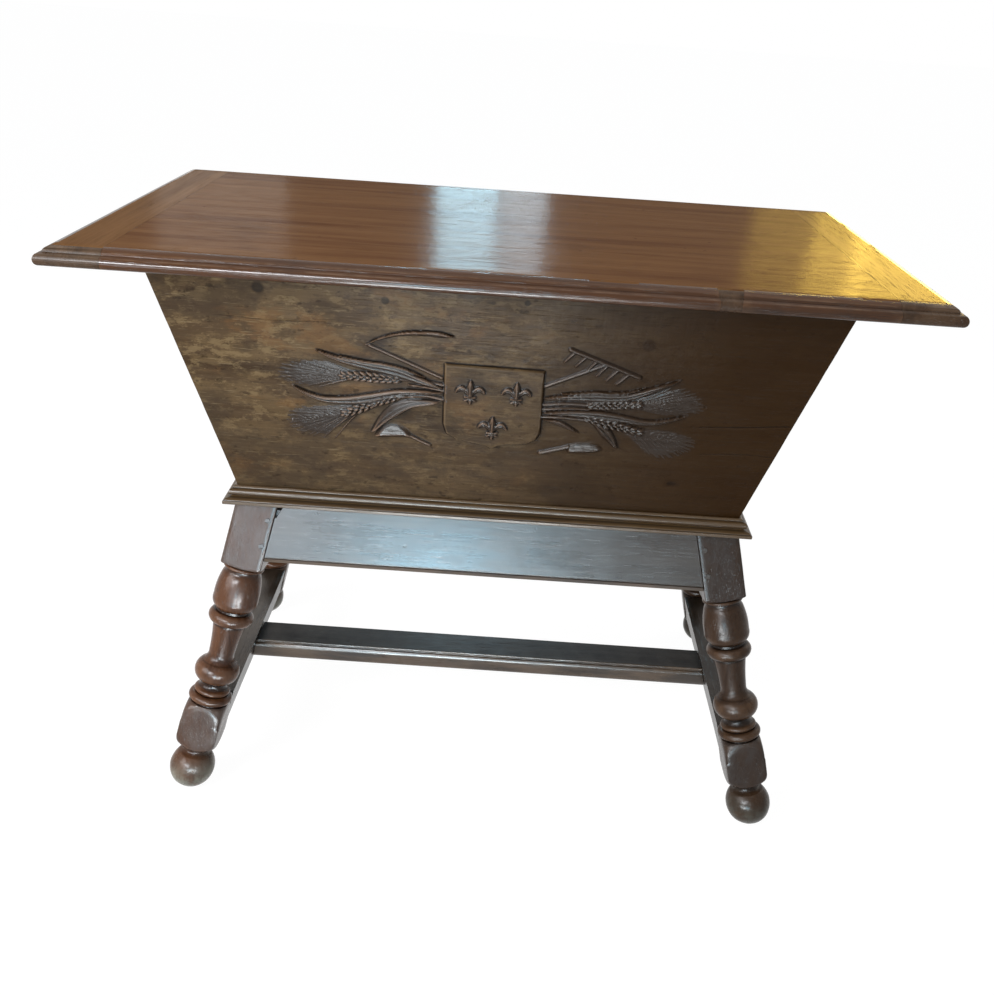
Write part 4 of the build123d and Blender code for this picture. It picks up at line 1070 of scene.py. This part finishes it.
def make_front_panel(material, motif):
    """Front wall with its carving; the motifs have a wood of their own."""
    x, h = panel_grid()
    relief = carve_panel(x, h)
    tools = np.clip(relief.z / 1.2, 0, 1)
    z = relief.z + uneven_ground(x, h) * (1 - 0.4 * tools) - 0.35
    verts, faces = panel_skin(x, h, z)
    mesh = bpy.data.meshes.new("front_panel")
    mesh.from_pydata(verts, [], faces)
    plain = len(verts) - z.size
    dark = np.append(relief.dark, np.zeros(plain))
    hollow = np.clip(0.5 + (z - blurred(z, 5, 2)) * 0.45, 0, 1)
    add_layer(mesh, "hollow", np.append(hollow, np.full(plain, 0.5)))
    add_layer(mesh, "motif", dark)
    add_layer(mesh, "halo", np.append(blurred(relief.dark, 90, 0), np.zeros(plain)))
    close_skin(mesh, 60)
    kinds = [int(sum(dark[v] for v in polygon.vertices) > 1.5) for polygon in mesh.polygons]
    put("front_panel_carved", mesh, STAND, ["panel_front"], material)
    mesh.materials.append(motif)
    mesh.polygons.foreach_set("material_index", kinds)


# ---- assembly
def paint(nodes, material):
    """Puts a material on CAD solids that keep their own mesh."""
    for node in nodes:
        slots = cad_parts[node].material_slots
        for slot in slots:
            slot.material = material
        if not slots:
            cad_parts[node].data.materials.append(material)


TROUGH_TONES = (48, 31, 14), (66, 46, 24), (88, 65, 38)
MOULD_TONES = (52, 36, 18), (78, 57, 31), (110, 88, 58)


def make_lid():
    """Three boards, two cleats, the let-in patch and the pegs."""
    top = wood("lid_wood", (92, 54, 25), (116, 78, 43), (142, 102, 64), "x", (0.4, 0.55), 0.0, coat=0.08,
               coat_rough=0.17, stain=0.3, seed=3.1, rub_share=0.0, crease_dark_share=0.0, ripple=2.2)
    edge = wood("lid_edge_wood", (34, 20, 8), (62, 36, 16), (112, 68, 30), "x", (0.13, 0.27), 0.26,
                stain=0.45, seed=3.1, rubbed=(146, 116, 88), rub_share=0.75)
    cleat = wood("cleat_wood", (92, 58, 28), (118, 82, 46), (144, 106, 68), "y", (0.4, 0.55), 0.0, coat=0.08,
                 coat_rough=0.18, stain=0.35, seed=8.2, rub_share=0.0, crease_dark_share=0.0)
    cleat_edge = wood("cleat_edge_wood", (36, 24, 14), (58, 40, 24), (96, 68, 44), "y", (0.2, 0.36), 0.18,
                      seed=8.9, rubbed=(128, 106, 84), rub_share=0.7)
    under = wood("lid_under_wood", (62, 40, 22), (90, 64, 38), (118, 90, 58), "x", (0.5, 0.65), 0.1,
                 stain=0.4, seed=4.4, rub_share=0.0)
    for index, name in enumerate(("front", "middle", "back")):
        board("lid_board_" + name, LID, top, 0.25, 0.2, (0.03, 0.03, WHOLE), index * 3.3, edge,
              under)
    for index, side in enumerate(("left", "right")):
        board("lid_cleat_" + side, LID, cleat, 0.25, 0.2, (WHOLE, 0.03, WHOLE), 20 + index,
              cleat_edge, under)
    board("lid_edge_patch", LID, cleat, 0.25, 0.2, (WHOLE,) * 3, 0.0, cleat_edge)
    paint(["lid_pegs"], cleat)


def make_trough():
    """Carved front, plain back and the two ends."""
    panel = wood("panel_wood", (56, 41, 26), (82, 65, 46), (108, 88, 64), "x", (0.3, 0.48), 0.04, stain=0.45,
                 seed=1.7, patches=old_varnish, rub_share=0.0, finish=carved((122, 106, 86), 0.5))
    motif = wood("carving_wood", (36, 24, 15), (60, 42, 28), (96, 72, 50), "x", (0.24, 0.40), 0.15,
                 stain=0.4, seed=1.7, rub_share=0.0, finish=carved((142, 116, 94), 0.6))
    plain = wood("panel_plain_wood", *TROUGH_TONES, "x", (0.35, 0.5), 0.1, stain=0.6, seed=2.6)
    ends = wood("panel_end_wood", *TROUGH_TONES, "y", (0.35, 0.5), 0.1, stain=0.6, seed=4.6)
    make_front_panel(panel, motif)
    board("panel_back", STAND, plain, 1.2, 0.6, (0.04, WHOLE, 0.04))
    for side in ("left", "right"):
        board("panel_" + side, STAND, ends, 1.0, 0.6, (WHOLE, 0.04, 0.04))


def moulding_woods():
    """Wood with the grain along the front, and along the sides."""
    long = wood("moulding_wood", *MOULD_TONES, "x", (0.30, 0.42), 0.34, stain=0.3, seed=5.1,
                rubbed=(122, 100, 72), rub_share=0.3)
    short = wood("moulding_side_wood", *MOULD_TONES, "y", (0.30, 0.42), 0.34, stain=0.3, seed=5.9,
                 rubbed=(140, 122, 94))
    return long, short


def frame_woods():
    """Wood with the grain along the front, and along the sides."""
    along = wood("frame_wood", (26, 19, 13), (42, 32, 24), (64, 52, 40), "x", (0.24, 0.36), 0.52, stain=0.4,
                 seed=7.7, pores=0.5, rubbed=(92, 80, 66), finish=low_band, depth=0.0004)
    across = wood("frame_side_wood", (22, 17, 11), (36, 28, 21), (56, 46, 36), "y", (0.22, 0.36), 0.25,
                  stain=0.4, seed=9.4, rubbed=(92, 80, 66))
    return along, across


def make_base():
    """Base moulding, aprons, floor boards, stretchers and the legs' pegs."""
    long, short = moulding_woods()
    along, across = frame_woods()
    rail_top = wood("rail_top_wood", (34, 30, 28), (52, 48, 46), (72, 68, 64), "x", (0.4, 0.55), 0.1,
                    stain=0.4, seed=7.7)
    for side in ("front", "back"):
        board("moulding_" + side, STAND, long, 0.4, 0.35, (0.02, WHOLE, WHOLE))
        board("apron_" + side, STAND, along, 1.0, 0.5, (0.03, WHOLE, 0.03))
        board("floor_board_" + side, STAND, along, 0.6, 0.3, (0.1, 0.1, WHOLE))
    for side in ("left", "right"):
        board("moulding_" + side, STAND, short, 0.4, 0.35, (WHOLE, 0.02, WHOLE))
        board("apron_" + side, STAND, across, 1.0, 0.5, (WHOLE, 0.03, 0.03))
        board("stretcher_" + side, STAND, across, 1.6, 0.7, (WHOLE, 0.03, 0.03))
    board("stretcher_centre", STAND, rail_top, 0.5, 0.5, (0.03, WHOLE, WHOLE),
          side_material=along)
    paint(["leg_pegs"], along)


def make_legs():
    """Four legs; the right ones have a darker copy of the wood, painted shade for the side away from the
    light.
    """
    pale = wood("leg_wood", (50, 26, 12), (80, 47, 27), (118, 80, 52), "z", (0.18, 0.34), 0.22, stain=0.45,
                seed=6.3, rubbed=(126, 92, 68), finish=leg_finish(1.0))
    # painted shade: the right legs get a darker, less glossy copy of the left legs' wood
    dark = wood("leg_painted_shade_wood", (34, 21, 12), (54, 37, 24), (82, 60, 42), "z", (0.22, 0.38), 0.14,
                stain=0.45, seed=6.9, rubbed=(104, 78, 56), finish=leg_finish(0.66))
    legs = (("front_left", -1, False), ("front_right", 1, False), ("back_left", -1, True),
            ("back_right", 1, True))
    for index, (name, side, back) in enumerate(legs):
        make_leg("leg_" + name, side, back, pale if side < 0 else dark, index * 7.1)


def main():
    add_camera()
    add_world()
    add_floor()
    add_window()
    add_softboxes()
    add_fill()
    make_lid()
    make_trough()
    make_base()
    make_legs()
    paint([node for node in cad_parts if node.startswith("hinge_")], iron())
    meshes = [piece for piece in bpy.data.objects if piece.type == "MESH"]
    add_warm_lamp([piece for piece in meshes if piece.name.startswith(("lid_", "front_panel", "panel_"))])


main()
